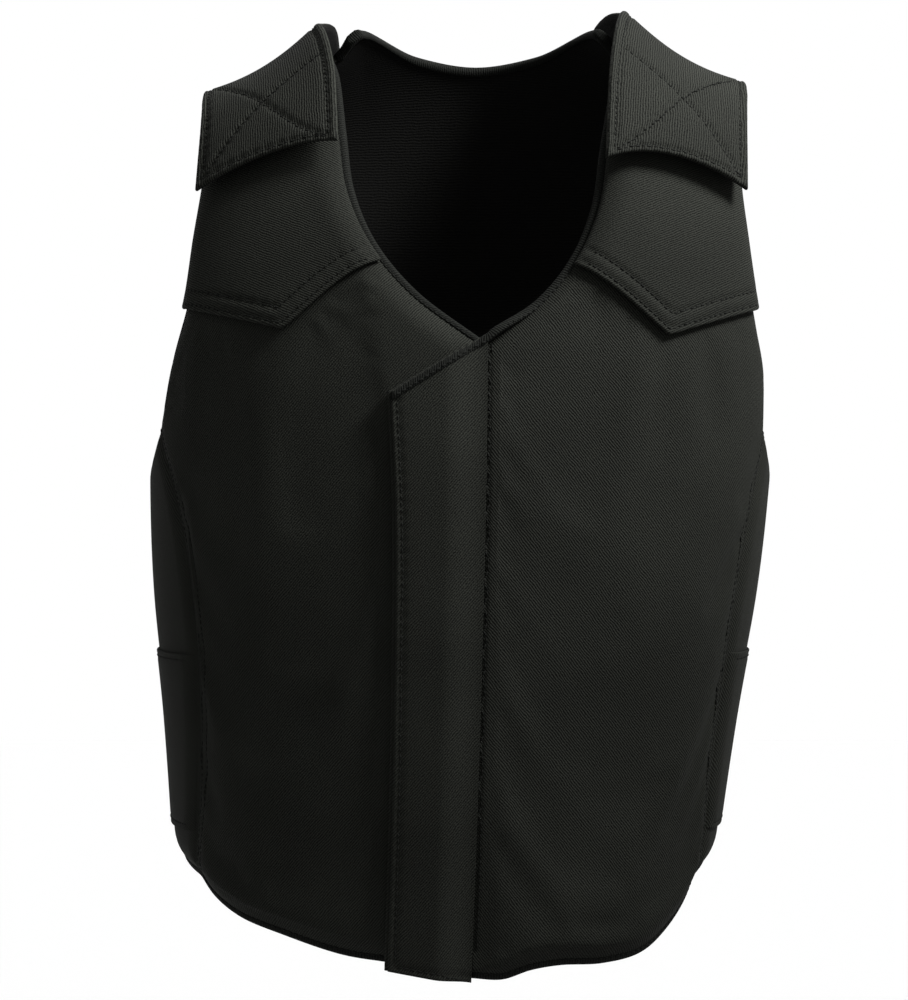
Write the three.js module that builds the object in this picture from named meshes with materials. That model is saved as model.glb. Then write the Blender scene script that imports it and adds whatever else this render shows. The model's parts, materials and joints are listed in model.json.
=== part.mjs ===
// A padded protective vest for riding, in the form it has when worn: two padded front panels closed
// under a thin flap, a padded back, side panels with fastening tabs, and wide straps over the shoulders.
// Millimetres, +Z up. The front faces -Y and the wearer's left is +X. The origin lies between the
// shoulders, level with the places where the vest rests on them.
import * as THREE from "three";

// Driving sizes
const GAP = 0.5; // clearance between pieces that touch
const SEAM_GAP = 1.4; // clearance of a side panel at its two curved seams
const SECTION_POWER = 2.4; // squareness of the trunk's oval cross-sections
const LEAN = 0.04; // sideways drift per millimetre of height, as the vest hangs on its wearer
// The slope from the neck out to the shoulder point, which hangs lower on the wearer's right.
// round softens the change of slope in the middle.
const SHOULDER = { neck: 70, reach: 60, dropRight: 53, dropLeft: 47, round: 12 };
const RIM = { share: 0.5, rise: 13 }; // padding thins to this share at a bound edge, over this width
const BINDING = { width: 5, tape: 0.8 };
const FLAP = { thick: 4, sink: 4 };
const YOKE = { inset: 6, thick: 2.4, clear: 2 };
const STRAP = { thick: 4, clear: 4.8 };
const TAB = { thick: 2.4, top: -322, bottom: -418, pastSeam: 2, end: 126 }; // the last two in degrees
const SHOULDER_END = 11.4; // level, in rows of LEVELS, where the padded panels stop under the straps

// The trunk's outer surface, a row for each level. rise is the height beside the neck, wide the
// half-width, front and back the depths, droop the share of the shoulder slope, pad the thickness.
const LEVELS = [
  { rise: -500, wide: 145, front: 107, back: 101, droop: 0, pad: 12 },
  { rise: -430, wide: 151, front: 112, back: 104, droop: 0, pad: 12 },
  { rise: -360, wide: 158.5, front: 117, back: 107, droop: 0, pad: 12 },
  { rise: -290, wide: 168, front: 121, back: 111, droop: 0, pad: 12 },
  { rise: -220, wide: 173, front: 122, back: 115, droop: 0, pad: 12 },
  { rise: -150, wide: 174.5, front: 117, back: 118, droop: 0.02, pad: 12 },
  { rise: -95, wide: 172, front: 106, back: 114, droop: 0.12, pad: 11 },
  { rise: -50, wide: 172, front: 91, back: 103, droop: 0.36, pad: 9.5 },
  { rise: -16, wide: 172, front: 74, back: 85, droop: 0.6, pad: 8 },
  { rise: 6, wide: 172, front: 55, back: 64, droop: 0.8, pad: 7 },
  { rise: 20, wide: 172, front: 35, back: 41, droop: 0.95, pad: 7 },
  { rise: 27, wide: 172, front: 16, back: 18, droop: 1.03, pad: 7 },
  { rise: 29, wide: 172, front: 0, back: 0, droop: 1.05, pad: 7 },
];

// Seam from the hem up to the armhole, between the back panel and a side panel.
const SIDE_SEAM = [
  { x: 138, z: -443 },
  { x: 140, z: -385 },
  { x: 145, z: -315 },
  { x: 155, z: -250 },
  { x: 168, z: -198 },
];
// The same seam between a front panel and a side panel.
const SIDE_SEAM_RIGHT = [
  { x: 136, z: -444 },
  { x: 134.5, z: -385 },
  { x: 138, z: -315 },
  { x: 150, z: -250 },
  { x: 168, z: -198 },
];
const SIDE_SEAM_LEFT = [
  { x: 140, z: -446 },
  { x: 143, z: -385 },
  { x: 149.5, z: -316 },
  { x: 158, z: -250 },
  { x: 168, z: -198 },
];
// Joint of the two front panels, from the hem up. It ends at the first point of a neck edge.
const FRONT_SEAM = [
  { x: 16, z: -489.5 },
  { x: 15.5, z: -400 },
  { x: 14.5, z: -310 },
  { x: 13, z: -225 },
];
// Edge of the armhole above the side seam, the same on the front and the back.
const ARMHOLE = [
  { x: 168, z: -198 },
  { x: 166.5, z: -166 },
  { x: 159, z: -134 },
  { x: 153, z: -101 },
  { x: 148, z: -68 },
  { x: 147.5, z: -35 },
  { x: 150, z: -10 },
];
// The front edge on the wearer's right is cut a little further in.
const ARMHOLE_RIGHT = [
  { x: 168, z: -198 },
  { x: 163.5, z: -166 },
  { x: 155, z: -134 },
  { x: 151.5, z: -101 },
  { x: 148, z: -68 },
  { x: 147.5, z: -35 },
  { x: 150, z: -10 },
];
// Neck edges above the front seam: the wearer's right crosses under the left at the point.
const NECK_RIGHT = [
  { x: 11, z: -158 },
  { x: -27, z: -130 },
  { x: -50, z: -103 },
  { x: -63, z: -75 },
  { x: -69, z: -45 },
  { x: -77, z: -6 },
  { x: -86, z: 26 },
];
const NECK_LEFT = [
  { x: 11, z: -153 },
  { x: 36, z: -135 },
  { x: 53, z: -113 },
  { x: 64, z: -85 },
  { x: 68.5, z: -50 },
  { x: 76, z: -6 },
  { x: 83, z: 26 },
];
const HEM_RIGHT = [
  { x: 16, z: -489.5 },
  { x: -8, z: -484 },
  { x: -30, z: -481 },
  { x: -52, z: -478 },
  { x: -86, z: -469 },
  { x: -112, z: -461.5 },
  { x: -127, z: -453 },
  { x: -136, z: -444 },
];
const HEM_LEFT = [
  { x: 16, z: -489.5 },
  { x: 33, z: -490.5 },
  { x: 48, z: -486 },
  { x: 64, z: -484 },
  { x: 88, z: -484.5 },
  { x: 110, z: -481 },
  { x: 124, z: -471 },
  { x: 134, z: -459 },
  { x: 140, z: -446 },
];
const HEM_BACK = [
  { x: -138, z: -443 },
  { x: -112, z: -455 },
  { x: -60, z: -462 },
  { x: 0, z: -464 },
  { x: 60, z: -462 },
  { x: 112, z: -455 },
  { x: 138, z: -443 },
];
const NECK_BACK = [
  { x: -83, z: 26 },
  { x: -66, z: 30 },
  { x: -36, z: 24 },
  { x: 0, z: 20 },
  { x: 36, z: 24 },
  { x: 66, z: 30 },
  { x: 83, z: 26 },
];
// How far the hem rises and the armhole sags between the two seams of a side panel. A higher power
// turns closer to the seams.
const SIDE_HEM = { lift: 5, power: 2 };
const ARMPIT = { lift: -15, power: 3 };

const FLAP_EDGE = [
  { x: -27, z: -482.5 },
  { x: -28, z: -390 },
  { x: -30, z: -300 },
  { x: -32.5, z: -240 },
  { x: -37, z: -185 },
];
const YOKE_POINTS = {
  right: { neckZ: -114, bend: { x: -64, z: -126 }, tip: { x: -94, z: -152 }, armZ: -138 },
  left: { neckZ: -116, bend: { x: 75, z: -131 }, tip: { x: 104, z: -155 }, armZ: -137 },
};
// A shoulder strap from its tip on the chest over the ridge to its end on the back. level counts
// rows of LEVELS from the ridge, front first, right and left are the neck edges of the two straps,
// outer their other edge, skew how far that edge runs on, arch how far the middle stays behind,
// lift the height over what lies below, and peak the further height of the neck edge.
const STRAP_SECTIONS = [
  { level: -5.2, right: 67.5, left: 66, outer: 138.5, skew: 0.26, arch: 0.15, lift: 6, peak: 0 },
  { level: -4, right: 71.5, left: 67.5, outer: 142, skew: 0.15, arch: 0.08, lift: 2.5, peak: 0 },
  { level: -2.6, right: 77, left: 70.5, outer: 146.5, skew: 0.04, arch: 0.02, lift: 0.5, peak: 1 },
  { level: -1.2, right: 80.5, left: 73, outer: 149, skew: 0, arch: 0, lift: 0, peak: 3 },
  { level: 0, right: 79.5, left: 73.5, outer: 149.5, skew: 0, arch: 0, lift: 0, peak: 4 },
  { level: 1.4, right: 73, left: 65, outer: 149, skew: 0, arch: 0, lift: 2, peak: 4 },
  { level: 3, right: 70, left: 57, outer: 147, skew: 0, arch: 0, lift: 5, peak: 6 },
  { level: 5.1, right: 72, left: 61, outer: 145, skew: 0, arch: 0, lift: 0, peak: 1 },
];

const TWILL = { colour: 0x1f1f1d, roughness: 0.75 };
const RIBBED = { colour: 0x262624, roughness: 0.7 };
const TAPE = { colour: 0x191918, roughness: 0.8 };

// Facets: counts of steps, or shares where the lines lie closer at the edges.
const MEASURE_STEPS = 40;
const EDGE_STEPS = 24;
const HALVINGS = 24;
const FRONT_COLUMNS = [0, 0.09, 0.2, 0.32, 0.44, 0.55, 0.66, 0.76, 0.85, 0.93, 1];
const BACK_HALF = [0, 0.05, 0.11, 0.17, 0.23, 0.247, 0.253, 0.28, 0.34, 0.42];
const SIDE_COLUMNS = [0, 0.14, 0.284, 0.428, 0.572, 0.716, 0.86, 1];
const SEAM_ROWS = [0, 0.026, 0.07, 0.14, 0.22, 0.3, 0.37, 0.43, 0.453, 0.46];
const ARMHOLE_ROWS = [0.49, 0.53, 0.58, 0.63, 0.68, 0.73, 0.78, 0.83, 0.88, 0.92, 0.96, 1];
const PANEL_ROWS = [...SEAM_ROWS, ...ARMHOLE_ROWS];
// The back is three solids, divided across at a share of its height and above that in the middle.
const BACK_DIVIDE = { height: 0.43, middle: 0.5, halfGap: 0.0008 };
const FLAP_COLUMNS = [0, 0.1, 0.3, 0.5, 0.65, 0.8, 0.9, 1];
const FLAP_ROWS = evenly(18);
const YOKE_COLUMNS = [0, 0.08, 0.18, 0.3, 0.4, 0.5, 0.6, 0.7, 0.79, 0.87, 0.94, 1];
const YOKE_ROWS = evenly(11);
const STRAP_ROWS = evenly(28);
const STRAP_COLUMNS = evenly(8);
const TAB_ROWS = evenly(5);
const TAB_COLUMNS = evenly(12);

const RIDGE = LEVELS.length - 1;
const { smoothstep, lerp, degToRad, radToDeg } = THREE.MathUtils;

function evenly(count) {
  return Array.from({ length: count + 1 }, (_, i) => i / count);
}

// Rows past the ridge repeat the other face turned over, so a strap crosses it smoothly.
function levelRow(i, name) {
  if (i < 0) return 2 * LEVELS[0][name] - LEVELS[1][name];
  if (i <= RIDGE) return LEVELS[i][name];
  const mirrored = LEVELS[2 * RIDGE - i];
  if (name === "front") return -mirrored.back;
  return name === "back" ? -mirrored.front : mirrored[name];
}

function spline(a, b, c, d, f) {
  return b + 0.5 * f * (c - a + f * (2 * a - 5 * b + 4 * c - d + f * (3 * (b - c) + d - a)));
}

function levelAt(k, name) {
  const i = Math.min(Math.max(Math.floor(k), 0), RIDGE - 1);
  const [before, after] = [levelRow(i - 1, name), levelRow(i + 2, name)];
  return spline(before, levelRow(i, name), levelRow(i + 1, name), after, k - i);
}

function shoulderFall(x) {
  const past = Math.tanh((Math.hypot(x, SHOULDER.round) - SHOULDER.neck) / SHOULDER.reach);
  return past * (past > 0 && x < 0 ? SHOULDER.dropRight : SHOULDER.dropLeft);
}

function trunkHeight(x, k) {
  return levelAt(k, "rise") - levelAt(k, "droop") * shoulderFall(x);
}

function trunkPoint(x, y, k) {
  const z = trunkHeight(x, k);
  return new THREE.Vector3(x + LEAN * z, y, z);
}

function bow(share) {
  return (1 - Math.min(Math.abs(share), 1) ** SECTION_POWER) ** (1 / SECTION_POWER);
}

// A chart lays a flat coordinate and a level on the trunk. facing turns its normal outward.
const frontChart = {
  facing: 1,
  step: 0.05,
  at: (x, k) => trunkPoint(x, -levelAt(k, "front") * bow(x / levelAt(k, "wide")), k),
  height: trunkHeight,
};
const backChart = {
  facing: -1,
  step: 0.05,
  at: (x, k) => trunkPoint(x, levelAt(k, "back") * bow(x / levelAt(k, "wide")), k),
  height: trunkHeight,
};
// Over the shoulder, counted in levels from the ridge, front first.
const overChart = {
  facing: 1,
  step: 0.05,
  at: (x, level) => (level < 0 ? frontChart : backChart).at(x, RIDGE - Math.abs(level)),
};
// Round the trunk by angle, from 0 at the front through 90 at the side to 180 at the back.
function roundChart(side) {
  const at = (angle, k) => {
    const turn = degToRad(angle);
    const depth = levelAt(k, Math.cos(turn) > 0 ? "front" : "back");
    const across = Math.abs(Math.sin(turn) / levelAt(k, "wide")) ** SECTION_POWER;
    const along = Math.abs(Math.cos(turn) / depth) ** SECTION_POWER;
    const reach = (across + along) ** (-1 / SECTION_POWER);
    return trunkPoint(side * reach * Math.sin(turn), -reach * Math.cos(turn), k);
  };
  return { facing: side, step: 0.02, at, height: (angle, k) => at(angle, k).z };
}

// The level at which a chart's coordinate reaches a height, by halving.
function levelOf(chart, u, z) {
  let low = 0;
  let high = RIDGE;
  for (let i = 0; i < HALVINGS; i++) {
    const middle = (low + high) / 2;
    if (chart.height(u, middle) < z) low = middle;
    else high = middle;
  }
  return (low + high) / 2;
}

function lifted(chart, u, k, offset) {
  const across = chart.at(u + chart.step, k).sub(chart.at(u - chart.step, k));
  const up = chart.at(u, k + 0.01).sub(chart.at(u, k - 0.01));
  const normal = across.cross(up).normalize().multiplyScalar(chart.facing);
  return chart.at(u, k).addScaledVector(normal, offset);
}

// Curves on a chart run from 0 to 1 and give { x, z }, where x is the chart's coordinate.
function curve(rows) {
  const path = new THREE.CatmullRomCurve3(rows.map((row) => new THREE.Vector3(row.x, 0, row.z)));
  return (u) => path.getPoint(u);
}

function chain(first, second, share) {
  return (u) => (u < share ? first(u / share) : second((u - share) / (1 - share)));
}

function mirror(rows) {
  return rows.map((row) => ({ x: -row.x, z: row.z }));
}

function straight(from, to) {
  return (u) => ({ x: lerp(from.x, to.x, u), z: lerp(from.z, to.z, u) });
}

// A patch filled between four curves: left and right run up, bottom and top run across.
function coons({ chart, left, right, bottom, top }) {
  const corner = [left(0), right(0), left(1), right(1)];
  const blend = (s, t, axis) => {
    const sides = lerp(left(t)[axis], right(t)[axis], s) + lerp(bottom(s)[axis], top(s)[axis], t);
    const low = lerp(corner[0][axis], corner[1][axis], s);
    const high = lerp(corner[2][axis], corner[3][axis], s);
    return sides - lerp(low, high, t);
  };
  const flat = (s, t) => ({ x: blend(s, t, "x"), z: blend(s, t, "z") });
  const spot = (s, t) => {
    const place = flat(s, t);
    return { x: place.x, k: levelOf(chart, place.x, place.z) };
  };
  const on = (s, t) => {
    const place = spot(s, t);
    return chart.at(place.x, place.k);
  };
  return { chart, flat, spot, on };
}

// Turns millimetres along a path into the path's own 0 to 1.
function ruler(path) {
  const marks = [0];
  let before = path(0);
  for (let i = 1; i <= MEASURE_STEPS; i++) {
    const here = path(i / MEASURE_STEPS);
    marks.push(marks[i - 1] + here.distanceTo(before));
    before = here;
  }
  const length = marks[MEASURE_STEPS];
  const at = (mm) => {
    const i = Math.min(Math.max(marks.findIndex((mark) => mark >= mm), 1), MEASURE_STEPS);
    return (i - 1 + (mm - marks[i - 1]) / (marks[i] - marks[i - 1])) / MEASURE_STEPS;
  };
  return { length, at };
}

// A closed wall between an outer and an inner sheet of points, both in rows of equal length.
function wall(outer, inner) {
  const rows = outer.length;
  const columns = outer[0].length;
  const points = [...outer.flat(), ...inner.flat()];
  const far = rows * columns;
  const index = [];
  const quad = (a, b, c, d) => index.push(a, b, c, a, c, d);
  const id = (j, i) => j * columns + i;
  for (let j = 0; j + 1 < rows; j++) {
    for (let i = 0; i + 1 < columns; i++) {
      const [a, b, c, d] = [id(j, i), id(j, i + 1), id(j + 1, i + 1), id(j + 1, i)];
      quad(a, b, c, d);
      quad(far + d, far + c, far + b, far + a);
    }
    const [left, leftUp] = [id(j, 0), id(j + 1, 0)];
    const [right, rightUp] = [id(j, columns - 1), id(j + 1, columns - 1)];
    quad(left, leftUp, far + leftUp, far + left);
    quad(rightUp, right, far + right, far + rightUp);
  }
  for (let i = 0; i + 1 < columns; i++) {
    quad(id(0, i + 1), id(0, i), far + id(0, i), far + id(0, i + 1));
    const [end, endNext] = [id(rows - 1, i), id(rows - 1, i + 1)];
    quad(end, endNext, far + endNext, far + end);
  }
  const volume = (a, b, c) => points[a].dot(points[b].clone().cross(points[c])) / 6;
  let total = 0;
  for (let n = 0; n < index.length; n += 3) total += volume(...index.slice(n, n + 3));
  if (total < 0) index.reverse();
  const geometry = new THREE.BufferGeometry().setFromPoints(points);
  geometry.setIndex(index);
  geometry.computeVertexNormals();
  return geometry;
}

const vest = new THREE.Group();

function addPiece(name, geometry, { colour, roughness }) {
  const material = new THREE.MeshStandardMaterial({ color: colour, roughness, metalness: 0 });
  const mesh = new THREE.Mesh(geometry, material);
  mesh.name = name;
  vest.add(mesh);
}

// How much the padding gives way at a place on a patch, by its distance from the bound edges.
function lineAlong(path) {
  const points = evenly(EDGE_STEPS).map(path);
  return points.slice(1).map((point, i) => new THREE.Line3(points[i], point));
}

function thinning(patch, s, t, lines) {
  const point = patch.on(s, t);
  const foot = new THREE.Vector3();
  const reach = (line) => line.closestPointToPoint(point, true, foot).distanceTo(point);
  const near = Math.min(...lines.map(reach));
  const pad = levelAt(patch.spot(s, t).k, "pad");
  return RIM.share * pad * (1 - smoothstep(near, BINDING.width, BINDING.width + RIM.rise));
}

// A padded panel on a patch. inset gives the width kept clear along each of its edges, which a
// binding fills, and soft names the edges at which the padding thins.
function paddedPanel({ patch, columns, rows, inset, soft }) {
  const across = (t) => ruler((s) => patch.on(s, t));
  const upward = (s) => ruler((t) => patch.on(s, t));
  const limits = (t) => {
    const row = across(t);
    return [row.at(inset.left(t)), row.at(row.length - inset.right(t))];
  };
  const columnAt = (i, t) => {
    const [from, to] = limits(t);
    return lerp(from, to, columns[i]);
  };
  const heights = columns.map((column, i) => {
    const [low, high] = [upward(columnAt(i, 0)), upward(columnAt(i, 1))];
    return [low.at(inset.bottom(column)), high.at(high.length - inset.top(column))];
  });
  const place = (i, j) => {
    const t = lerp(...heights[i], rows[j]);
    return { s: columnAt(i, t), t };
  };
  const edges = {
    left: (u) => patch.on(0, u),
    right: (u) => patch.on(1, u),
    bottom: (u) => patch.on(u, 0),
    top: (u) => patch.on(u, 1),
  };
  const lines = soft.flatMap(([edge, from, to]) => lineAlong((u) => edges[edge](lerp(from, to, u))));
  const thinned = (s, t) => thinning(patch, s, t, lines);
  const sheet = (offset) =>
    rows.map((_, j) =>
      columns.map((_, i) => {
        const { s, t } = place(i, j);
        const { x, k } = patch.spot(s, t);
        return lifted(patch.chart, x, k, offset(s, t, k));
      }),
    );
  const outer = sheet((s, t) => -thinned(s, t));
  const inner = sheet((s, t, k) => -levelAt(k, "pad"));
  const part = (keepsRow, keepsColumn) => {
    const cut = (points) =>
      points.filter((_, j) => keepsRow(rows[j])).map((row) => row.filter((_, i) => keepsColumn(columns[i])));
    return wall(cut(outer), cut(inner));
  };
  return { patch, columns, rows, inset, place, columnAt, part, geometry: wall(outer, inner) };
}

// Shares in order, with a narrow gap where they pass one share.
function divided(shares, at) {
  const { halfGap } = BACK_DIVIDE;
  const clear = shares.filter((share) => Math.abs(share - at) > halfGap);
  return [...clear, at - halfGap, at + halfGap].sort((a, b) => a - b);
}

// One cross-section of a binding, from where it meets the panel out to the finished edge.
const BINDING_SECTION = [
  { out: 0, half: 1 },
  { out: 0.6, half: 1 },
  { out: 0.9, half: 0.78 },
  { out: 1, half: 0.35 },
];

function bindingStation(patch, meet, edge) {
  const side = (sign) =>
    BINDING_SECTION.map(({ out, half }) => {
      const { x, k } = patch.spot(lerp(meet.s, edge.s, out), lerp(meet.t, edge.t, out));
      const pad = levelAt(k, "pad");
      const middle = -pad * (1 + RIM.share) / 2;
      const reach = half * (pad * (1 - RIM.share) / 2 + BINDING.tape);
      return lifted(patch.chart, x, k, middle + sign * reach);
    });
  return { outer: side(1), inner: side(-1) };
}

function bindingAlong(panel, stations) {
  return stations.map(({ s, t, edge }) => {
    const patch = panel.patch;
    const upDown = edge === "bottom" || edge === "top";
    const way = ruler((v) => (upDown ? patch.on(s, v) : patch.on(v, t)));
    const first = edge === "left" || edge === "bottom";
    const inward = (width) => {
      const share = way.at(first ? width : way.length - width);
      return upDown ? { s, t: share } : { s: share, t };
    };
    return bindingStation(patch, inward(BINDING.width - GAP), inward(GAP / 2));
  });
}

function bindingWall(stations) {
  return wall(
    stations.map((station) => station.outer),
    stations.map((station) => station.inner),
  );
}

const NECK_SHARE = 0.46; // share of a front panel's height at the point of the neck
const TURN = 0.006; // share over which a panel's edge steps in to make room for a binding
const bindingRoom = (t, from) => lerp(GAP / 2, BINDING.width, smoothstep(t, from, from + TURN));
const upperRoom = (t) => bindingRoom(t, NECK_SHARE - TURN);

function shoulderLine(chart, inner, outer) {
  return (u) => {
    const x = lerp(inner, outer, u);
    return { x, z: chart.at(x, SHOULDER_END).z };
  };
}

const frontSideSeam = (side) => (side < 0 ? SIDE_SEAM_RIGHT : SIDE_SEAM_LEFT);

// A front panel's patch runs from the front seam and neck out to the side seam and armhole.
function frontPatch(neck, arm, side) {
  const shoulder = shoulderLine(frontChart, neck.at(-1).x, side * ARMHOLE.at(-1).x);
  const sided = (rows) => (side < 0 ? mirror(rows) : rows);
  const closed = [...neck.slice(0, -1), shoulder(0)];
  const armhole = [...sided(arm).slice(0, -1), shoulder(1)];
  return coons({
    chart: frontChart,
    left: chain(curve([...FRONT_SEAM, neck[0]]), curve(closed), NECK_SHARE),
    right: chain(curve(sided(frontSideSeam(side))), curve(armhole), NECK_SHARE),
    bottom: curve(side < 0 ? HEM_RIGHT : HEM_LEFT),
    top: shoulder,
  });
}

function frontPanel(patch) {
  return paddedPanel({
    patch,
    columns: FRONT_COLUMNS,
    rows: PANEL_ROWS,
    inset: {
      left: upperRoom,
      right: upperRoom,
      bottom: () => BINDING.width,
      top: () => 0,
    },
    soft: [
      ["left", 0, 1],
      ["right", NECK_SHARE, 1],
      ["bottom", 0, 1],
    ],
  });
}

const frontRight = frontPanel(frontPatch(NECK_RIGHT, ARMHOLE_RIGHT, -1));
const frontLeft = frontPanel(frontPatch(NECK_LEFT, ARMHOLE, 1));
addPiece("front_panel_right", frontRight.geometry, TWILL);
addPiece("front_panel_left", frontLeft.geometry, TWILL);

const BACK_SHOULDER = 0.25; // share of the back's upper edge that each shoulder takes
const NECK_TURN = 0.001;

// The back panel runs from the wearer's right side to the left, with the neck in its upper edge.
function backPanel() {
  const corner = Math.abs(NECK_BACK[0].x);
  const outer = ARMHOLE.at(-1).x;
  const rightShoulder = shoulderLine(backChart, -outer, -corner);
  const leftShoulder = shoulderLine(backChart, corner, outer);
  const neck = curve([rightShoulder(1), ...NECK_BACK.slice(1, -1), leftShoulder(0)]);
  const neckShare = (1 - 2 * BACK_SHOULDER) / (1 - BACK_SHOULDER);
  const armhole = [...ARMHOLE.slice(0, -1), leftShoulder(1)];
  const patch = coons({
    chart: backChart,
    left: chain(curve(mirror(SIDE_SEAM)), curve(mirror(armhole)), NECK_SHARE),
    right: chain(curve(SIDE_SEAM), curve(armhole), NECK_SHARE),
    bottom: curve(HEM_BACK),
    top: chain(rightShoulder, chain(neck, leftShoulder, neckShare), BACK_SHOULDER),
  });
  const inNeck = (s) => {
    const past = Math.min(s - BACK_SHOULDER, 1 - BACK_SHOULDER - s);
    return BINDING.width * smoothstep(past, -NECK_TURN, NECK_TURN);
  };
  const columns = [...BACK_HALF, ...BACK_HALF.map((s) => 1 - s)];
  const panel = paddedPanel({
    patch,
    columns: divided(columns, BACK_DIVIDE.middle),
    rows: divided(PANEL_ROWS, BACK_DIVIDE.height),
    inset: {
      left: upperRoom,
      right: upperRoom,
      bottom: () => BINDING.width,
      top: inNeck,
    },
    soft: [
      ["left", NECK_SHARE, 1],
      ["right", NECK_SHARE, 1],
      ["bottom", 0, 1],
      ["top", BACK_SHOULDER, 1 - BACK_SHOULDER],
    ],
  });
  const bare = (column, edge) => edge === "top" && inNeck(column) < BINDING.width / 2;
  return { ...panel, bare };
}

const back = backPanel();
const upperRow = (share) => share > BACK_DIVIDE.height;
const leftColumn = (share) => share > BACK_DIVIDE.middle;
addPiece("back_panel_lower", back.part((row) => !upperRow(row), () => true), TWILL);
addPiece("back_panel_upper_right", back.part(upperRow, (column) => !leftColumn(column)), TWILL);
addPiece("back_panel_upper_left", back.part(upperRow, leftColumn), TWILL);

// A side panel runs by angle from the front seam round to the back seam.
function sidePanel(side) {
  const chart = roundChart(side);
  const seamAngle = (seam, depth) => (u) => {
    const { x, z } = curve(seam)(u);
    const k = levelOf(frontChart, x, z);
    const y = levelAt(k, depth) * bow(x / levelAt(k, "wide"));
    return { x: radToDeg(Math.atan2(x, depth === "front" ? y : -y)), z };
  };
  const left = seamAngle(frontSideSeam(side), "front");
  const right = seamAngle(SIDE_SEAM, "back");
  const arch = (from, to, { lift, power }) => (u) => {
    const place = straight(from, to)(u);
    return { x: place.x, z: place.z + lift * (1 - Math.abs(2 * u - 1) ** power) };
  };
  const patch = coons({
    chart,
    left,
    right,
    bottom: arch(left(0), right(0), SIDE_HEM),
    top: arch(left(1), right(1), ARMPIT),
  });
  return paddedPanel({
    patch,
    columns: SIDE_COLUMNS,
    rows: SEAM_ROWS.map((share) => share / NECK_SHARE),
    inset: {
      left: () => SEAM_GAP,
      right: () => SEAM_GAP,
      bottom: () => BINDING.width,
      top: () => BINDING.width,
    },
    soft: [
      ["bottom", 0, 1],
      ["top", 0, 1],
    ],
  });
}

const sides = { right: sidePanel(-1), left: sidePanel(1) };
addPiece("side_panel_right", sides.right.geometry, TWILL);
addPiece("side_panel_left", sides.left.geometry, TWILL);

// Thin pieces lie over the panels: under and over give their two faces as heights on the patch.
function overlay(patch, columns, rows, under, thick) {
  const sheet = (extra) =>
    rows.map((t) =>
      columns.map((s) => {
        const { x, k } = patch.spot(s, t);
        return lifted(patch.chart, x, k, under(s, t) + extra);
      }),
    );
  return wall(sheet(thick), sheet(0));
}

// The flap is sewn beside the front seam and lies over the wearer's right panel.
function frontFlap() {
  const seam = [...FRONT_SEAM, NECK_LEFT[0]].map(({ x, z }) => ({ x: x - 2 * GAP, z: z - 2 * GAP }));
  const patch = coons({
    chart: frontChart,
    left: curve(FLAP_EDGE),
    right: curve(seam),
    bottom: straight(FLAP_EDGE[0], seam[0]),
    top: straight(FLAP_EDGE.at(-1), seam.at(-1)),
  });
  const under = (s, t) => {
    const fromSeam = (1 - s) * (seam[0].x - FLAP_EDGE[0].x);
    return 2 * GAP - FLAP.sink * (1 - smoothstep(fromSeam, 0, BINDING.width + RIM.rise));
  };
  return overlay(patch, FLAP_COLUMNS, FLAP_ROWS, under, FLAP.thick);
}

addPiece("front_flap", frontFlap(), TWILL);

const HEIGHT_STEPS = 400;

// The height share at which an edge of a patch passes a height.
function shareAtHeight(edge, z) {
  return evenly(HEIGHT_STEPS).find((u) => edge(u).z >= z && u > NECK_SHARE);
}

const YOKE_TOP = 0.98; // share of the panel's height where the yoke ends under the strap

function yoke(panel, { neckZ, bend, tip, armZ }) {
  const { patch } = panel;
  const insetEdge = (fromLeft, z) => {
    const foot = shareAtHeight((t) => patch.flat(fromLeft ? 0 : 1, t), z);
    return (u) => {
      const t = lerp(foot, YOKE_TOP, u);
      const row = ruler((s) => patch.on(s, t));
      return patch.flat(row.at(fromLeft ? YOKE.inset : row.length - YOKE.inset), t);
    };
  };
  const left = insetEdge(true, neckZ);
  const right = insetEdge(false, armZ);
  const lower = chain(curve([left(0), bend, tip]), straight(tip, right(0)), 0.5);
  const cover = coons({
    chart: frontChart,
    left,
    right,
    bottom: lower,
    top: straight(left(1), right(1)),
  });
  const lines = [0, 1].flatMap((s) => lineAlong((u) => patch.on(s, lerp(NECK_SHARE, 1, u))));
  const under = (s, t) => YOKE.clear - thinning(cover, s, t, lines);
  return overlay(cover, YOKE_COLUMNS, YOKE_ROWS, under, YOKE.thick);
}

addPiece("yoke_right", yoke(frontRight, YOKE_POINTS.right), TWILL);
addPiece("yoke_left", yoke(frontLeft, YOKE_POINTS.left), TWILL);

function shoulderStrap(side) {
  const column = (name, u) => {
    const at = u * (STRAP_SECTIONS.length - 1);
    const i = Math.min(Math.floor(at), STRAP_SECTIONS.length - 2);
    const row = (n) => STRAP_SECTIONS[Math.min(Math.max(n, 0), STRAP_SECTIONS.length - 1)][name];
    return spline(row(i - 1), row(i), row(i + 1), row(i + 2), at - i);
  };
  const sheet = (extra) =>
    STRAP_ROWS.map((u) =>
      STRAP_COLUMNS.map((s) => {
        const x = side * lerp(column(side < 0 ? "right" : "left", u), column("outer", u), s);
        const shift = 4 * s * (1 - s) * column("arch", u) - s * s * column("skew", u);
        const offset = STRAP.clear + column("lift", u) + column("peak", u) * (1 - s) ** 2 + extra;
        return lifted(overChart, x, column("level", u) + shift, offset);
      }),
    );
  return wall(sheet(STRAP.thick), sheet(0));
}

addPiece("shoulder_strap_right", shoulderStrap(-1), RIBBED);
addPiece("shoulder_strap_left", shoulderStrap(1), RIBBED);

const TAB_SEAM_SHARE = 0.4; // share of the seam's height from which the tab's front end is measured

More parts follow.
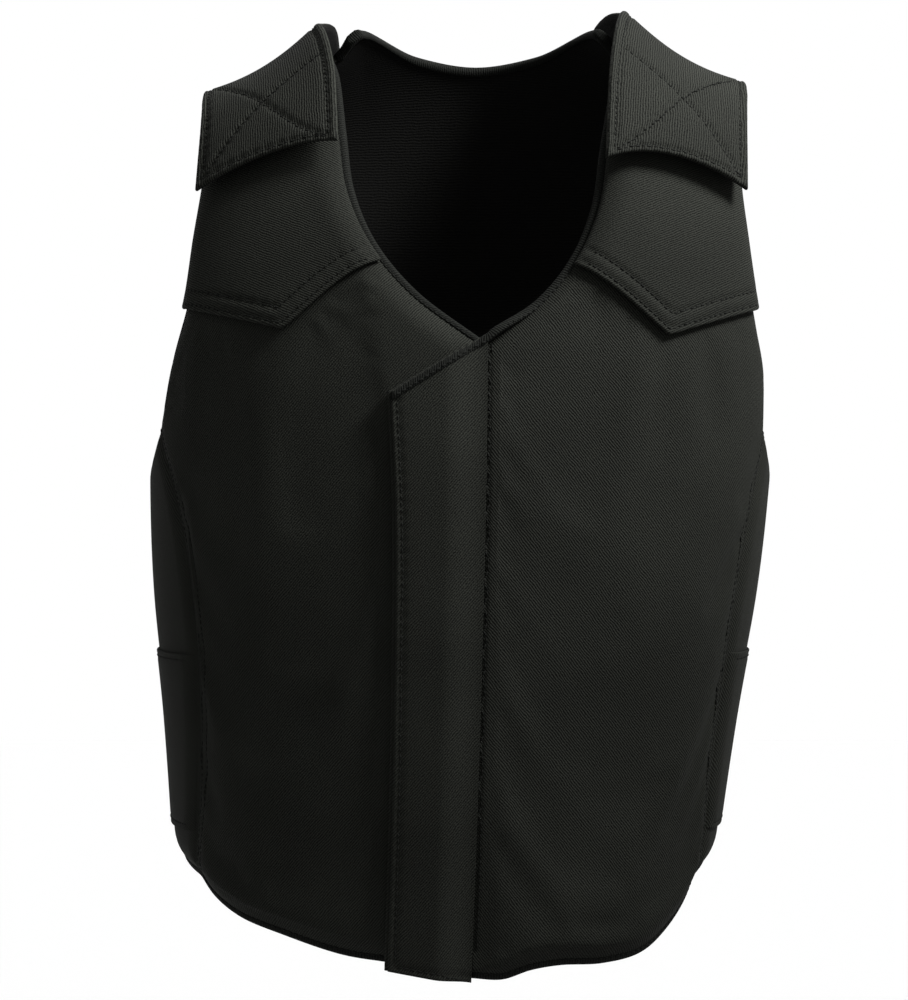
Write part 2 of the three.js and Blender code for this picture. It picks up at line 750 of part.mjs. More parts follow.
// A side tab runs from the front seam over the side panel and onto the back.
function sideTab(panel, side) {
  const chart = roundChart(side);
  const start = panel.patch.flat(0, TAB_SEAM_SHARE).x + TAB.pastSeam;
  const [frontLow, frontHigh] = [TAB.bottom, TAB.top].map((z) => ({ x: start, z }));
  const [backLow, backHigh] = [TAB.bottom, TAB.top].map((z) => ({ x: TAB.end, z }));
  const patch = coons({
    chart,
    left: straight(frontLow, frontHigh),
    right: straight(backLow, backHigh),
    bottom: straight(frontLow, backLow),
    top: straight(frontHigh, backHigh),
  });
  return overlay(patch, TAB_COLUMNS, TAB_ROWS, () => GAP, TAB.thick);
}

addPiece("side_tab_right", sideTab(sides.right, -1), RIBBED);
addPiece("side_tab_left", sideTab(sides.left, 1), RIBBED);

// Bindings follow the panels' edges at the panels' own rows and columns.
function boundEdge(panel, edge) {
  const last = panel.columns.length - 1;
  if (edge === "bottom" || edge === "top") {
    const t = edge === "top" ? 1 : 0;
    const stations = panel.columns.map((column, i) => ({ column, s: panel.columnAt(i, t), t, edge }));
    return bindingAlong(panel, stations.filter(({ column }) => !panel.bare?.(column, edge)));
  }
  const rows = panel.rows.map((_, j) => panel.place(edge === "left" ? 0 : last, j).t);
  const room = panel.inset[edge];
  const bound = rows.filter((t) => room(t) === BINDING.width);
  return bindingAlong(panel, bound.map((t) => ({ s: 0, t, edge })));
}

addPiece("neck_binding_right", bindingWall(boundEdge(frontRight, "left")), TAPE);
addPiece("neck_binding_left", bindingWall(boundEdge(frontLeft, "left")), TAPE);
addPiece("neck_binding_back", bindingWall(boundEdge(back, "top")), TAPE);

function armholeBinding(front, side, backEdge) {
  const down = boundEdge(front, "right").reverse();
  return bindingWall([...down, ...boundEdge(side, "top"), ...boundEdge(back, backEdge)]);
}

addPiece("armhole_binding_right", armholeBinding(frontRight, sides.right, "left"), TAPE);
addPiece("armhole_binding_left", armholeBinding(frontLeft, sides.left, "right"), TAPE);

function hemBinding() {
  const [right, left] = [frontRight, frontLeft].map((panel) => boundEdge(panel, "bottom"));
  const [underRight, underLeft] = [sides.right, sides.left].map((panel) => boundEdge(panel, "bottom"));
  const behind = boundEdge(back, "bottom");
  return bindingWall([...right, ...underRight, ...behind, ...underLeft.reverse(), ...left.reverse()]);
}

addPiece("hem_binding", hemBinding(), TAPE);

export default vest;
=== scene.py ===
"""Padded riding vest: sews cloth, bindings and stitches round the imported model, lit for a picture."""
import json
from functools import partial

import bpy
import numpy as np
from bpy.props import FloatProperty, FloatVectorProperty, PointerProperty
from mathutils import Vector
from mathutils.bvhtree import BVHTree
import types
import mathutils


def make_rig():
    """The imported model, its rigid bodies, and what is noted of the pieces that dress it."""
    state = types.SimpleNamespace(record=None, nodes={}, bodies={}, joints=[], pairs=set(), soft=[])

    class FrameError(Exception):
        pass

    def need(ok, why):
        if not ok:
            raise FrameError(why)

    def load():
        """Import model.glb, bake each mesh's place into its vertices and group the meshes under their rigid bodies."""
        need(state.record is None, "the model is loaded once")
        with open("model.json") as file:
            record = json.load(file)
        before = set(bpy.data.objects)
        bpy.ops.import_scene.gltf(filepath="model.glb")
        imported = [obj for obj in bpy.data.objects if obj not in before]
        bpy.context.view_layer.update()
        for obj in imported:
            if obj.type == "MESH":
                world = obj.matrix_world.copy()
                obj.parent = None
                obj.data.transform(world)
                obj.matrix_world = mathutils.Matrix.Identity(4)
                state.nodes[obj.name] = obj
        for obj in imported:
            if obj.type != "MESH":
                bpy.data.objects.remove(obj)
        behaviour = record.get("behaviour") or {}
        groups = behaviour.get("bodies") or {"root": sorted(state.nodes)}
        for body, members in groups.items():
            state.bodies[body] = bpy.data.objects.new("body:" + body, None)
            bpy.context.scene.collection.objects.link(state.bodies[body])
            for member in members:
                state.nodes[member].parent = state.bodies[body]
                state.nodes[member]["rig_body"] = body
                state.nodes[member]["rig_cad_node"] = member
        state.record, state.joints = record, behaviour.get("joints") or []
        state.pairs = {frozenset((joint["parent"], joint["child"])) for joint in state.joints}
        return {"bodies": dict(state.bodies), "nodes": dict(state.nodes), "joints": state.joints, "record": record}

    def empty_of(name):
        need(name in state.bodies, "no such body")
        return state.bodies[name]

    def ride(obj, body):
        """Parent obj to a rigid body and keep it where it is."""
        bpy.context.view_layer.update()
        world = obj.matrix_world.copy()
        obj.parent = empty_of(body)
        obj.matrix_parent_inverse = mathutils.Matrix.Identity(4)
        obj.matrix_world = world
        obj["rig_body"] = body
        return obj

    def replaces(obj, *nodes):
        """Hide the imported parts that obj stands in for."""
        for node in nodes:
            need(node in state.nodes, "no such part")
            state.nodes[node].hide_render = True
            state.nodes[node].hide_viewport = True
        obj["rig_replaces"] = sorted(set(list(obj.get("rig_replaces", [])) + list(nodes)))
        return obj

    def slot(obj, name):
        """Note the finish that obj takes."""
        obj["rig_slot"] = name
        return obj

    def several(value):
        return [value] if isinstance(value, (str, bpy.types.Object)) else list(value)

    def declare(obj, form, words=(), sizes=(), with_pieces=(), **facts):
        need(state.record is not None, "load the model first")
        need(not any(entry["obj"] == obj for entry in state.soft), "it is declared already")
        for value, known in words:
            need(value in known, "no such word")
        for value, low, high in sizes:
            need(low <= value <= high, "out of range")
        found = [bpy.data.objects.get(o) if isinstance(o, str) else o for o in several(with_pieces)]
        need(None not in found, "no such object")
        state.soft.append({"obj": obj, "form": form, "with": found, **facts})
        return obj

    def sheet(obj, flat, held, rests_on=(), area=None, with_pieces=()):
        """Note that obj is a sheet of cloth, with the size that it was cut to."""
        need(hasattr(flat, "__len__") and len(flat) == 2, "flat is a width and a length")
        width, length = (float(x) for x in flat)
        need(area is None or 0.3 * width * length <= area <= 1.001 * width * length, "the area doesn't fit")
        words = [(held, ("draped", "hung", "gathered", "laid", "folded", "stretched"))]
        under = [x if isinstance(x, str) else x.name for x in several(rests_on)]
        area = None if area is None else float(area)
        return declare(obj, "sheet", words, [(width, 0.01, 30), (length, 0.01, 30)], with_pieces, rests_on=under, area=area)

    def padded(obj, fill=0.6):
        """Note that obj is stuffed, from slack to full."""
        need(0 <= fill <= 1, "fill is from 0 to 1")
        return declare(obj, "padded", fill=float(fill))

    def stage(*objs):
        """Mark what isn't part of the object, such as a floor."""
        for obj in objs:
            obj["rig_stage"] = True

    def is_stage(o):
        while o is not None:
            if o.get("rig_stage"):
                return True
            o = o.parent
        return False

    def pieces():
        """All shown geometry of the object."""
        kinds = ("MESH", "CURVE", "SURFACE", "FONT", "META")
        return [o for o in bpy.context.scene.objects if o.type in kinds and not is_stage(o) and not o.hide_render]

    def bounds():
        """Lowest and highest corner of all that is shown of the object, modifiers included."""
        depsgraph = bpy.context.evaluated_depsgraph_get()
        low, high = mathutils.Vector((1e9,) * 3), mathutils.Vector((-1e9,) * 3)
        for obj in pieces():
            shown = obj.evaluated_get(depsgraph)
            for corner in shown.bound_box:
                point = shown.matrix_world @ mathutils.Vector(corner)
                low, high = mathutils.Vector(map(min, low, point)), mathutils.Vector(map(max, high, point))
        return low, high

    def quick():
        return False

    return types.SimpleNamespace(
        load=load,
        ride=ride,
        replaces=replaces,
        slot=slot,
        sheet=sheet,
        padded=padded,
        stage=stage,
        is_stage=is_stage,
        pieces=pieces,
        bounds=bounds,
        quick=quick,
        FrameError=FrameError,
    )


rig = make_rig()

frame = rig.load()
CAD_BOX = [list(corner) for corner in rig.bounds()]

bl_info = {
    "name": "Padded Riding Vest",
    "version": (1, 0, 0),
    "blender": (4, 5, 0),
    "location": "3D View > Sidebar > Vest",
    "description": "Makes the fabric panels, bindings, straps and stitching of a padded riding vest",
    "category": "Object",
}

# Sizes on the vest are in millimetres, and shares run from 0 to 1 along an edge.
MM = 0.001
GAP = 0.5
SECTION_POWER = 2.4
LEAN = 0.04
SHOULDER = {"neck": 70, "reach": 60, "drop_right": 53, "drop_left": 47, "round": 12}
# What padding loses of its thickness at a bound edge, and how it gets it back.
RIM = {"share": 0.5, "flat": 3.2, "fade": 15, "power": 2.3}
BINDING = {"width": 5, "tape": 0.8, "rise": 7, "rise_share": 0.09, "flap_clear": 0.3, "stitch": 3.9}
FLAP = {
    "thick": 4, "facing": 1.9, "fold": 0.6, "sink_low": 8, "sink_top": 5.4, "sink_ends": (-480, -380),
    "sink_reach": 20, "sink_least": 0.5,
}
YOKE = {"inset": 3.4, "thick": 2.8, "clear": 1.6, "top": 0.98, "rows_top": 0.35}
STRAP = {"thick": 4.4, "clear": 4.7, "left_tip": 0.22, "tip_share": 0.2}
# A tab starts a little past the seam, in degrees round the trunk, and follows the seam's dip closely.
TAB = {
    "thick": 1.3, "lay": 0.2, "length": 145, "top": -322, "bottom": -418, "end": 126, "past_seam": 0.4,
    "follow": 1.35,
}
SIDE_DIP = {"depth": 2.6, "reach": 8}
# Usual width and length of the flat pieces, which set how finely they are meshed.
MESHED_AS = {"facing": (47, 300), "flap": (45, 300), "yoke": (84, 150), "strap": (70, 300), "tab": (150, 96)}
SHOULDER_END = 11.4
NECK_SHARE = 0.46
BACK_SHOULDER = 0.25

# Levels of the trunk: height beside the neck, half-width, front and back depth, shoulder slope, padding.
LEVEL_NAMES = ("rise", "wide", "front", "back", "droop", "pad")
LEVELS = np.array([
    (-500, 145, 107, 101, 0, 12),
    (-430, 151, 112, 104, 0, 12),
    (-360, 158.5, 117, 107, 0, 12),
    (-290, 168, 121, 111, 0, 12),
    (-220, 173, 122, 115, 0, 12),
    (-150, 174.5, 117, 118, 0.02, 12),
    (-95, 172, 106, 114, 0.12, 11),
    (-50, 172, 91, 103, 0.36, 9.5),
    (-16, 172, 74, 85, 0.6, 8),
    (6, 172, 55, 64, 0.8, 7),
    (20, 172, 35, 41, 0.95, 7),
    (27, 172, 16, 18, 1.03, 7),
    (29, 172, 0, 0, 1.05, 7),
], float)
RIDGE = len(LEVELS) - 1

# Seams and edges as (x, z) on the trunk seen from the front.
SIDE_SEAM = [(138, -443), (140, -385), (145, -315), (155, -250), (168, -198)]
FRONT_SIDE_SEAM = {
    -1: [(136, -444), (134.5, -385), (138, -315), (150, -250), (168, -198)],
    1: [(140, -446), (143, -385), (149.5, -316), (158, -250), (168, -198)],
}
FRONT_SEAM = [(16, -489.5), (15.5, -400), (14.5, -310), (13, -225)]
ARMHOLE = [(168, -198), (166.5, -166), (159, -134), (153, -101), (148, -68), (147.5, -35), (150, -10)]
ARMHOLE_RIGHT = [(168, -198), (163.5, -166), (155, -134), (151.5, -101), (148, -68), (147.5, -35), (150, -10)]
NECK_RIGHT = [(11, -158), (-27, -130), (-50, -103), (-63, -75), (-69, -45), (-77, -6), (-86, 26)]
NECK_LEFT = [(11, -153), (36, -135), (53, -113), (64, -85), (68.5, -50), (76, -6), (83, 26)]
HEM_RIGHT = [
    (16, -489.5), (-8, -484), (-30, -481), (-52, -478), (-86, -469), (-112, -461.5), (-127, -453),
    (-136, -444),
]
HEM_LEFT = [
    (16, -489.5), (33, -490.5), (48, -486), (64, -484), (88, -484.5), (110, -481), (124, -471), (134, -459),
    (140, -446),
]
HEM_BACK = [(-138, -443), (-112, -455), (-60, -462), (0, -464), (60, -462), (112, -455), (138, -443)]
NECK_BACK = [(-83, 26), (-66, 30), (-36, 24), (0, 20), (36, 24), (66, 30), (83, 26)]
SIDE_HEM = (5, 2)
ARMPIT = (-15, 3)
FLAP_EDGE = [(-27, -482.5), (-28, -390), (-30, -300), (-32.5, -240), (-37, -185)]
YOKE_POINTS = {
    -1: {"neck_z": -114, "bend": (-64, -126), "tip": (-94, -152), "arm_z": -138},
    1: {"neck_z": -116, "bend": (75, -131), "tip": (104, -155), "arm_z": -137},
}
# Shoulder strap from its tip on the chest to its end on the back.
STRAP_NAMES = ("level", "right", "left", "outer", "skew", "arch", "lift", "peak")
STRAP_SECTIONS = np.array([
    (-5.2, 67.5, 66, 138.5, 0.26, 0.15, 6, 0),
    (-4, 71.5, 67.5, 142, 0.15, 0.08, 2.5, 0),
    (-2.6, 77, 70.5, 146.5, 0.04, 0.02, 0.5, 1),
    (-1.2, 80.5, 73, 149, 0, 0, 0, 3),
    (0, 79.5, 73.5, 149.5, 0, 0, 0, 4),
    (1.4, 73, 65, 149, 0, 0, 2, 4),
    (3, 70, 57, 147, 0, 0, 5, 6),
    (5.1, 72, 61, 145, 0, 0, 0, 1),
], float)
SIDE_NAMES = {-1: "right", 1: "left"}


def lerp(a, b, f):
    return a + (b - a) * f


def smooth(x, low, high):
    f = np.clip((x - low) / (high - low), 0, 1)
    return f * f * (3 - 2 * f)


def spline(a, b, c, d, f):
    return b + 0.5 * f * (c - a + f * (2 * a - 5 * b + 4 * c - d + f * (3 * (b - c) + d - a)))


def level(k, name):
    """A column of LEVELS at a fractional row. Past the ridge the rows repeat the other face, turned over."""
    column = LEVELS[:, LEVEL_NAMES.index(name)]
    turned = {"front": "back", "back": "front"}.get(name)
    beyond = -LEVELS[-2, LEVEL_NAMES.index(turned)] if turned else column[-2]
    rows = np.concatenate([[2 * column[0] - column[1]], column, [beyond]])
    i = np.clip(np.floor(k).astype(int), 0, RIDGE - 1)
    return spline(rows[i], rows[i + 1], rows[i + 2], rows[i + 3], k - i)


def trunk(x, y, k):
    past = np.tanh((np.hypot(x, SHOULDER["round"]) - SHOULDER["neck"]) / SHOULDER["reach"])
    drop = np.where((past > 0) & (x < 0), SHOULDER["drop_right"], SHOULDER["drop_left"])
    z = level(k, "rise") - level(k, "droop") * past * drop
    return np.stack(np.broadcast_arrays(x + LEAN * z, y, z), -1)


def bow(share):
    return (1 - np.minimum(np.abs(share), 1) ** SECTION_POWER) ** (1 / SECTION_POWER)


# Small steps for measuring slopes, along a chart's own coordinate and its level.
X_STEP, ANGLE_STEP, LEVEL_STEP = 0.05, 0.02, 0.01
HALVINGS = 26


class Chart:
    """Lays a coordinate and a level on the trunk's surface; facing turns the normal outward."""

    def __init__(self, at, facing, step):
        self.at, self.facing, self.step = at, facing, step

    def lift(self, u, k, offset):
        across = self.at(u + self.step, k) - self.at(u - self.step, k)
        up = self.at(u, k + LEVEL_STEP) - self.at(u, k - LEVEL_STEP)
        normal = self.facing * np.cross(across, up)
        normal /= np.linalg.norm(normal, axis=-1, keepdims=True)
        return self.at(u, k) + normal * np.asarray(offset, float)[..., None]

    def level_of(self, u, z):
        low, high = np.zeros_like(u), np.full_like(u, float(RIDGE))
        for _ in range(HALVINGS):
            middle = (low + high) / 2
            under = self.at(u, middle)[..., 2] < z
            low, high = np.where(under, middle, low), np.where(under, high, middle)
        return (low + high) / 2


def front_at(x, k):
    return trunk(x, -level(k, "front") * bow(x / level(k, "wide")), k)


def back_at(x, k):
    return trunk(x, level(k, "back") * bow(x / level(k, "wide")), k)


def over_at(x, rows):
    k = RIDGE - np.abs(rows)
    return np.where((rows < 0)[..., None], front_at(x, k), back_at(x, k))


def around_at(side):
    def at(angle, k):
        turn = np.radians(angle)
        depth = np.where(np.cos(turn) > 0, level(k, "front"), level(k, "back"))
        across = np.abs(np.sin(turn) / level(k, "wide")) ** SECTION_POWER
        along = np.abs(np.cos(turn) / depth) ** SECTION_POWER
        reach = (across + along) ** (-1 / SECTION_POWER)
        return trunk(side * reach * np.sin(turn), -reach * np.cos(turn), k)
    return at


FRONT = Chart(front_at, 1, X_STEP)
BACK = Chart(back_at, -1, X_STEP)
OVER = Chart(over_at, 1, X_STEP)
AROUND = {side: Chart(around_at(side), side, ANGLE_STEP) for side in (-1, 1)}


def curve(rows):
    """A smooth line through (x, z) rows, asked by shares from 0 to 1."""
    p = np.array(rows, float)
    p = np.vstack([2 * p[0] - p[1], p, 2 * p[-1] - p[-2]])

    def at(u):
        along = np.clip(np.asarray(u, float), 0, 1) * (len(p) - 3)
        i = np.minimum(along.astype(int), len(p) - 4)
        f = (along - i)[..., None]
        a, b, c, d = (p[i + n] for n in range(4))
        one, two, three = (
            np.sqrt(np.linalg.norm(q - o, axis=-1))[..., None] for o, q in ((a, b), (b, c), (c, d))
        )
        start = two * ((b - a) / one - (c - a) / (one + two) + (c - b) / two)
        end = two * ((c - b) / two - (d - b) / (two + three) + (d - c) / three)
        return b + f * (start + f * (3 * (c - b) - 2 * start - end + f * (2 * (b - c) + start + end)))

    return at


def straight(start, end):
    a, b = np.array(start, float), np.array(end, float)
    return lambda u: lerp(a, b, np.asarray(u, float)[..., None])


def chain(first, second, share):
    def at(u):
        u = np.asarray(u, float)
        near, far = first(np.clip(u / share, 0, 1)), second(np.clip((u - share) / (1 - share), 0, 1))
        return np.where((u < share)[..., None], near, far)
    return at


def mirrored(rows):
    return [(-x, z) for x, z in rows]


PROBE = 0.02


class Patch:
    """A piece's outline as four curves on a chart, filled in between. Shares run across, then up."""

    def __init__(self, chart, left, right, bottom, top):
        self.chart, self.left, self.right, self.bottom, self.top = chart, left, right, bottom, top

    def flat(self, s, t):
        s, t = np.broadcast_arrays(np.asarray(s, float), np.asarray(t, float))
        a, b = s[..., None], t[..., None]
        corners = [edge(end) for end in (0.0, 1.0) for edge in (self.left, self.right)]
        low, high = lerp(corners[0], corners[1], a), lerp(corners[2], corners[3], a)
        filled = lerp(self.left(t), self.right(t), a) + lerp(self.bottom(s), self.top(s), b)
        return filled - lerp(low, high, b)

    def spot(self, s, t):
        place = self.flat(s, t)
        return place[..., 0], self.chart.level_of(place[..., 0], place[..., 1])

    def on(self, s, t, offset=0.0):
        return self.chart.lift(*self.spot(s, t), offset)

    def shares(self, edge, inward, u):
        """Shares across and up at places u along an edge, a share inward of it."""
        fixed = inward if edge in ("left", "bottom") else 1 - inward
        return (fixed, u) if edge in ("left", "right") else (u, fixed)

    def speed(self, edge, u):
        """Millimetres to a share, going inward from places u along an edge."""
        inside, outside = (self.on(*self.shares(edge, inward, u)) for inward in (PROBE, 0.0))
        return np.linalg.norm(inside - outside, axis=-1) / PROBE

    def edge(self, name, start=0.0, end=1.0, steps=120):
        return self.on(*self.shares(name, 0.0, np.linspace(start, end, steps)))


def shoulder_line(chart, inner, outer):
    def at(u):
        x = lerp(inner, outer, np.asarray(u, float))
        return np.stack([x, chart.at(x, np.full_like(x, SHOULDER_END))[..., 2]], -1)
    return at


def front_patch(side):
    neck = NECK_RIGHT if side < 0 else NECK_LEFT
    sided = mirrored if side < 0 else list
    seam = FRONT_SEAM + [neck[0]]
    shoulder = shoulder_line(FRONT, neck[-1][0], side * ARMHOLE[-1][0])
    neck = curve(neck[:-1] + [tuple(shoulder(0.0))])
    arm = curve(sided(ARMHOLE_RIGHT if side < 0 else ARMHOLE)[:-1] + [tuple(shoulder(1.0))])
    return Patch(
        FRONT,
        left=chain(curve(seam), neck, NECK_SHARE),
        right=chain(curve(sided(FRONT_SIDE_SEAM[side])), arm, NECK_SHARE),
        bottom=curve(HEM_RIGHT if side < 0 else HEM_LEFT),
        top=shoulder,
    )


def back_patch():
    corner, outer = NECK_BACK[-1][0], ARMHOLE[-1][0]
    right, left = shoulder_line(BACK, -outer, -corner), shoulder_line(BACK, corner, outer)
    neck = curve([tuple(right(1.0))] + NECK_BACK[1:-1] + [tuple(left(0.0))])
    neck_share = (1 - 2 * BACK_SHOULDER) / (1 - BACK_SHOULDER)
    arm = ARMHOLE[:-1] + [tuple(left(1.0))]
    return Patch(
        BACK,
        left=chain(curve(mirrored(SIDE_SEAM)), curve(mirrored(arm)), NECK_SHARE),
        right=chain(curve(SIDE_SEAM), curve(arm), NECK_SHARE),
        bottom=curve(HEM_BACK),
        top=chain(right, chain(neck, left, neck_share), BACK_SHOULDER),
    )


def side_patch(side):
    def seam(line, depth, sign):
        def at(u):
            place = curve(line)(u)
            x, z = place[..., 0], place[..., 1]
            k = FRONT.level_of(x, z)
            y = level(k, depth) * bow(x / level(k, "wide"))
            return np.stack([np.degrees(np.arctan2(x, sign * y)), z], -1)
        return at

    left, right = seam(FRONT_SIDE_SEAM[side], "front", 1), seam(SIDE_SEAM, "back", -1)

    def arch(end, lift, power):
        line = straight(left(end), right(end))

        def at(u):
            place = line(u)
            place[..., 1] += lift * (1 - np.abs(2 * np.asarray(u, float) - 1) ** power)
            return place
        return at

    return Patch(AROUND[side], left, right, arch(np.array(0.0), *SIDE_HEM), arch(np.array(1.0), *ARMPIT))


def flap_patch(beyond=0.0):
    """The flap's outline, or that of its facing, which shows beyond the free edge."""
    seam = [(x + GAP / 2, z - 2 * GAP) for x, z in FRONT_SEAM + [NECK_LEFT[0]]]
    edge = [(x - beyond, z) for x, z in FLAP_EDGE]
    return Patch(FRONT, curve(edge), curve(seam), straight(edge[0], seam[0]), straight(edge[-1], seam[-1]))


def front_dip(distance, z, less):
    """How far padding dips at the front seam. less is what lies on the other panel."""
    deep = lerp(FLAP["sink_low"], FLAP["sink_top"], smooth(z, *FLAP["sink_ends"]))
    return np.maximum(deep - less, FLAP["sink_least"]) * (1 - smooth(distance, 0, FLAP["sink_reach"]))


def flap_under(s, t):
    """Height of the flap's lower face: it lies on the panel and sinks to the seam."""
    place = flap_patch().flat(s, t)
    wide = FRONT_SEAM[0][0] - FLAP_EDGE[0][0]
    return 2 * GAP - front_dip((1 - s) * wide, place[..., 1], 0.0)


def yoke_patch(side):
    panel, points = front_patch(side), YOKE_POINTS[side]

    def inset(edge, z):
        u = np.linspace(NECK_SHARE, 1, 400)
        foot = u[np.argmax(panel.flat(*panel.shares(edge, 0.0, u))[:, 1] >= z)]

        def at(v):
            t = lerp(foot, YOKE["top"], np.asarray(v, float))
            return panel.flat(*panel.shares(edge, YOKE["inset"] / panel.speed(edge, t), t))
        return at

    left, right = inset("left", points["neck_z"]), inset("right", points["arm_z"])
    lower = chain(
        curve([tuple(left(0.0)), points["bend"], points["tip"]]), straight(points["tip"], right(0.0)), 0.5
    )
    return Patch(FRONT, left, right, lower, straight(left(1.0), right(1.0)))


def tab_patch(side):
    """A side tab's outline. Its front end is sewn into the front panel's seam."""
    seam = side_patch(side).left
    share = np.linspace(0, 1, 200)
    heights = seam(share)[:, 1]

    def front(u):
        z = lerp(TAB["bottom"], TAB["top"], np.asarray(u, float))
        return np.stack([np.interp(z, heights, seam(share)[:, 0]) + TAB["past_seam"], z], -1)

    low, high = (TAB["end"], TAB["bottom"]), (TAB["end"], TAB["top"])
    bottom, top = straight(front(0.0), low), straight(front(1.0), high)
    return Patch(AROUND[side], front, straight(low, high), bottom, top)


def seam_dip(distance):
    """How far padding dips at a side seam."""
    return SIDE_DIP["depth"] * np.clip(1 - distance / SIDE_DIP["reach"], 0, 1) ** 2


def tab_under(s, t):
    """Height of a tab's lower face, which dips into the seam at its front end."""
    return TAB["lay"] - TAB["follow"] * seam_dip(s * TAB["length"])


def strap_column(name, u):
    rows = STRAP_SECTIONS[:, STRAP_NAMES.index(name)]
    along = np.asarray(u, float) * (len(rows) - 1)
    i = np.clip(np.floor(along).astype(int), 0, len(rows) - 2)
    last = len(rows) - 1
    return spline(rows[np.maximum(i - 1, 0)], rows[i], rows[i + 1], rows[np.minimum(i + 2, last)], along - i)


def strap_on(side):
    def on(s, u, offset=0.0):
        s, u = np.broadcast_arrays(np.asarray(s, float), np.asarray(u, float))
        x = side * lerp(strap_column(SIDE_NAMES[side], u), strap_column("outer", u), s)
        shift = 4 * s * (1 - s) * strap_column("arch", u) - s * s * strap_column("skew", u)
        if side > 0:
            shift = shift - STRAP["left_tip"] * (1 - s) ** 2 * smooth(u, STRAP["tip_share"], 0.0)
        base = STRAP["clear"] + strap_column("lift", u) + strap_column("peak", u) * (1 - s) ** 2
        return OVER.lift(x, strap_column("level", u) + shift, base + offset)
    return on


def nearest_on(points, line):
    """Distance of each point from a line given by its points, and how far along the line that is."""
    flat = points.reshape(-1, 3)
    nearest, place, run = np.full(len(flat), np.inf), np.zeros(len(flat)), 0.0
    for a, b in zip(line[:-1], line[1:]):
        along = b - a
        f = np.clip((flat - a) @ along / max(along @ along, 1e-9), 0, 1)
        away = np.linalg.norm(flat - a - f[:, None] * along, axis=1)
        length = np.linalg.norm(along)
        place = np.where(away < nearest, run + f * length, place)
        nearest = np.minimum(nearest, away)
        run += length
    return nearest.reshape(points.shape[:-1]), place.reshape(points.shape[:-1])


def distance_to(points, line):
    return nearest_on(points, line)[0]


# Puckers beside a row of stitches. Their height is a share of the row's depth, and their pitch drifts.
PUCKER = {"height": 0.22, "pitch": 6.8, "drift": 1.9, "drift_run": 17, "reach": 4}
ROW_STEP = 5


def sewn_in(points, lines, depth, width):
    """How far rows of stitches pull a surface in, with the small puckers that they leave beside them."""
    pulled = np.zeros(points.shape[:-1])
    for line in lines:
        away, run = nearest_on(points, resampled(line, ROW_STEP))
        turn = run * 2 * np.pi / PUCKER["pitch"] + PUCKER["drift"] * np.sin(run / PUCKER["drift_run"])
        pucker = PUCKER["height"] * np.sin(turn) * np.exp(-((away / PUCKER["reach"]) ** 2))
        pulled = np.maximum(pulled, depth * (np.exp(-((away / width) ** 2)) + pucker))
    return pulled


def steps_between(grid, axis):
    """Length run along the rows (axis 1) or up the columns (axis 0) of a grid of points."""
    gaps = np.linalg.norm(np.diff(grid, axis=axis), axis=-1)
    return np.concatenate([np.zeros_like(gaps.take([0], axis)), np.cumsum(gaps, axis)], axis)


def between(values, places, at):
    """Rows of values known at rising places, filled in at other places."""
    columns = values.reshape(len(values), -1).T
    found = np.stack([np.interp(at, places, column) for column in columns], -1)
    return found.reshape(len(at), *values.shape[1:])


def resampled(line, step):
    """A line's points at even steps along its length."""
    run = steps_between(line[None], 1)[0]
    return between(line, run, np.linspace(0, run[-1], max(int(run[-1] / step), 2) + 1))


def marks(length, step, fine):
    """Shares along a length: close together where fine gives millimetres from either end, then even."""
    edge = np.array(fine, float) / length
    start = edge[-1]
    middle = np.linspace(start, 1 - start, max(int((1 - 2 * start) * length / step), 2) + 1)
    return np.unique(np.concatenate([edge, middle, 1 - edge]).round(6))


# Where the weave is measured from: a level of the trunk and, at the sides, an angle round it.
WEAVE_LEVEL, WEAVE_ANGLE = 4.0, 90.0
WEAVE_STEPS = np.linspace(0, 1, 25)[:, None, None]


def weave_at(chart, u, k, start):
    """Weave coordinates in millimetres on a chart: round the trunk from start, and up from the chest."""
    def length(u, k):
        points = chart.at(*np.broadcast_arrays(u, k))
        return np.linalg.norm(np.diff(points, axis=0), axis=-1).sum(0)

    across = length(lerp(start, u[None], WEAVE_STEPS), k)
    up = length(u, lerp(WEAVE_LEVEL, k[None], WEAVE_STEPS))
    return np.stack([np.sign(u - start) * across, np.sign(k - WEAVE_LEVEL) * up], -1)


def weave_on(patch, s, t):
    return weave_at(patch.chart, *patch.spot(s, t), WEAVE_ANGLE if patch.chart in AROUND.values() else 0.0)


def weave_along(grid):
    """Weave coordinates in millimetres, measured across a strap and along it."""
    return np.stack([steps_between(grid, 1), steps_between(grid, 0)], -1)


def linear(hex_colour):
    """An sRGB hex colour as linear RGBA."""
    parts = [int(hex_colour[i:i + 2], 16) / 255 for i in (1, 3, 5)]
    return [p / 12.92 if p <= 0.04045 else ((p + 0.055) / 1.055) ** 2.4 for p in parts] + [1.0]


def hex_of(colour):
    """The sRGB hex of a colour picked in the panel."""
    parts = [12.92 * c if c <= 0.0031308 else 1.055 * c ** (1 / 2.4) - 0.055 for c in colour[:3]]
    return "#" + "".join(f"{round(255 * min(max(p, 0), 1)):02x}" for p in parts)


def add(tree, kind, inputs=(), **settings):
    """Adds a node with its settings; an input is a value or the socket that feeds it."""
    made = tree.nodes.new(kind)
    for name, value in settings.items():
        setattr(made, name, value)
    for socket, value in dict(inputs).items():
        if isinstance(value, bpy.types.NodeSocket):
            tree.links.new(value, made.inputs[socket])
        else:
            made.inputs[socket].default_value = value
    return made


# Patterns in cells to a millimetre: threads wander over about 7 mm, and wear shows over about 80 mm.
WANDER, WEAR = 0.14, 0.012
# Colour of the valleys between the ribs: painted shade, near black. The ribs take the cloth's own colour.
VALLEY_SHADE = "#030303"
TWILL = {"pitch": 1.2, "depth": 0.3}
# Yarns to a rib and their height beside it, then roughness from valley to rib and tone from worn to fresh.
YARNS, YARN_HEIGHT = 1.5, 1.25
ROUGH, TONE = (0.95, 0.7), (0.86, 1.14)


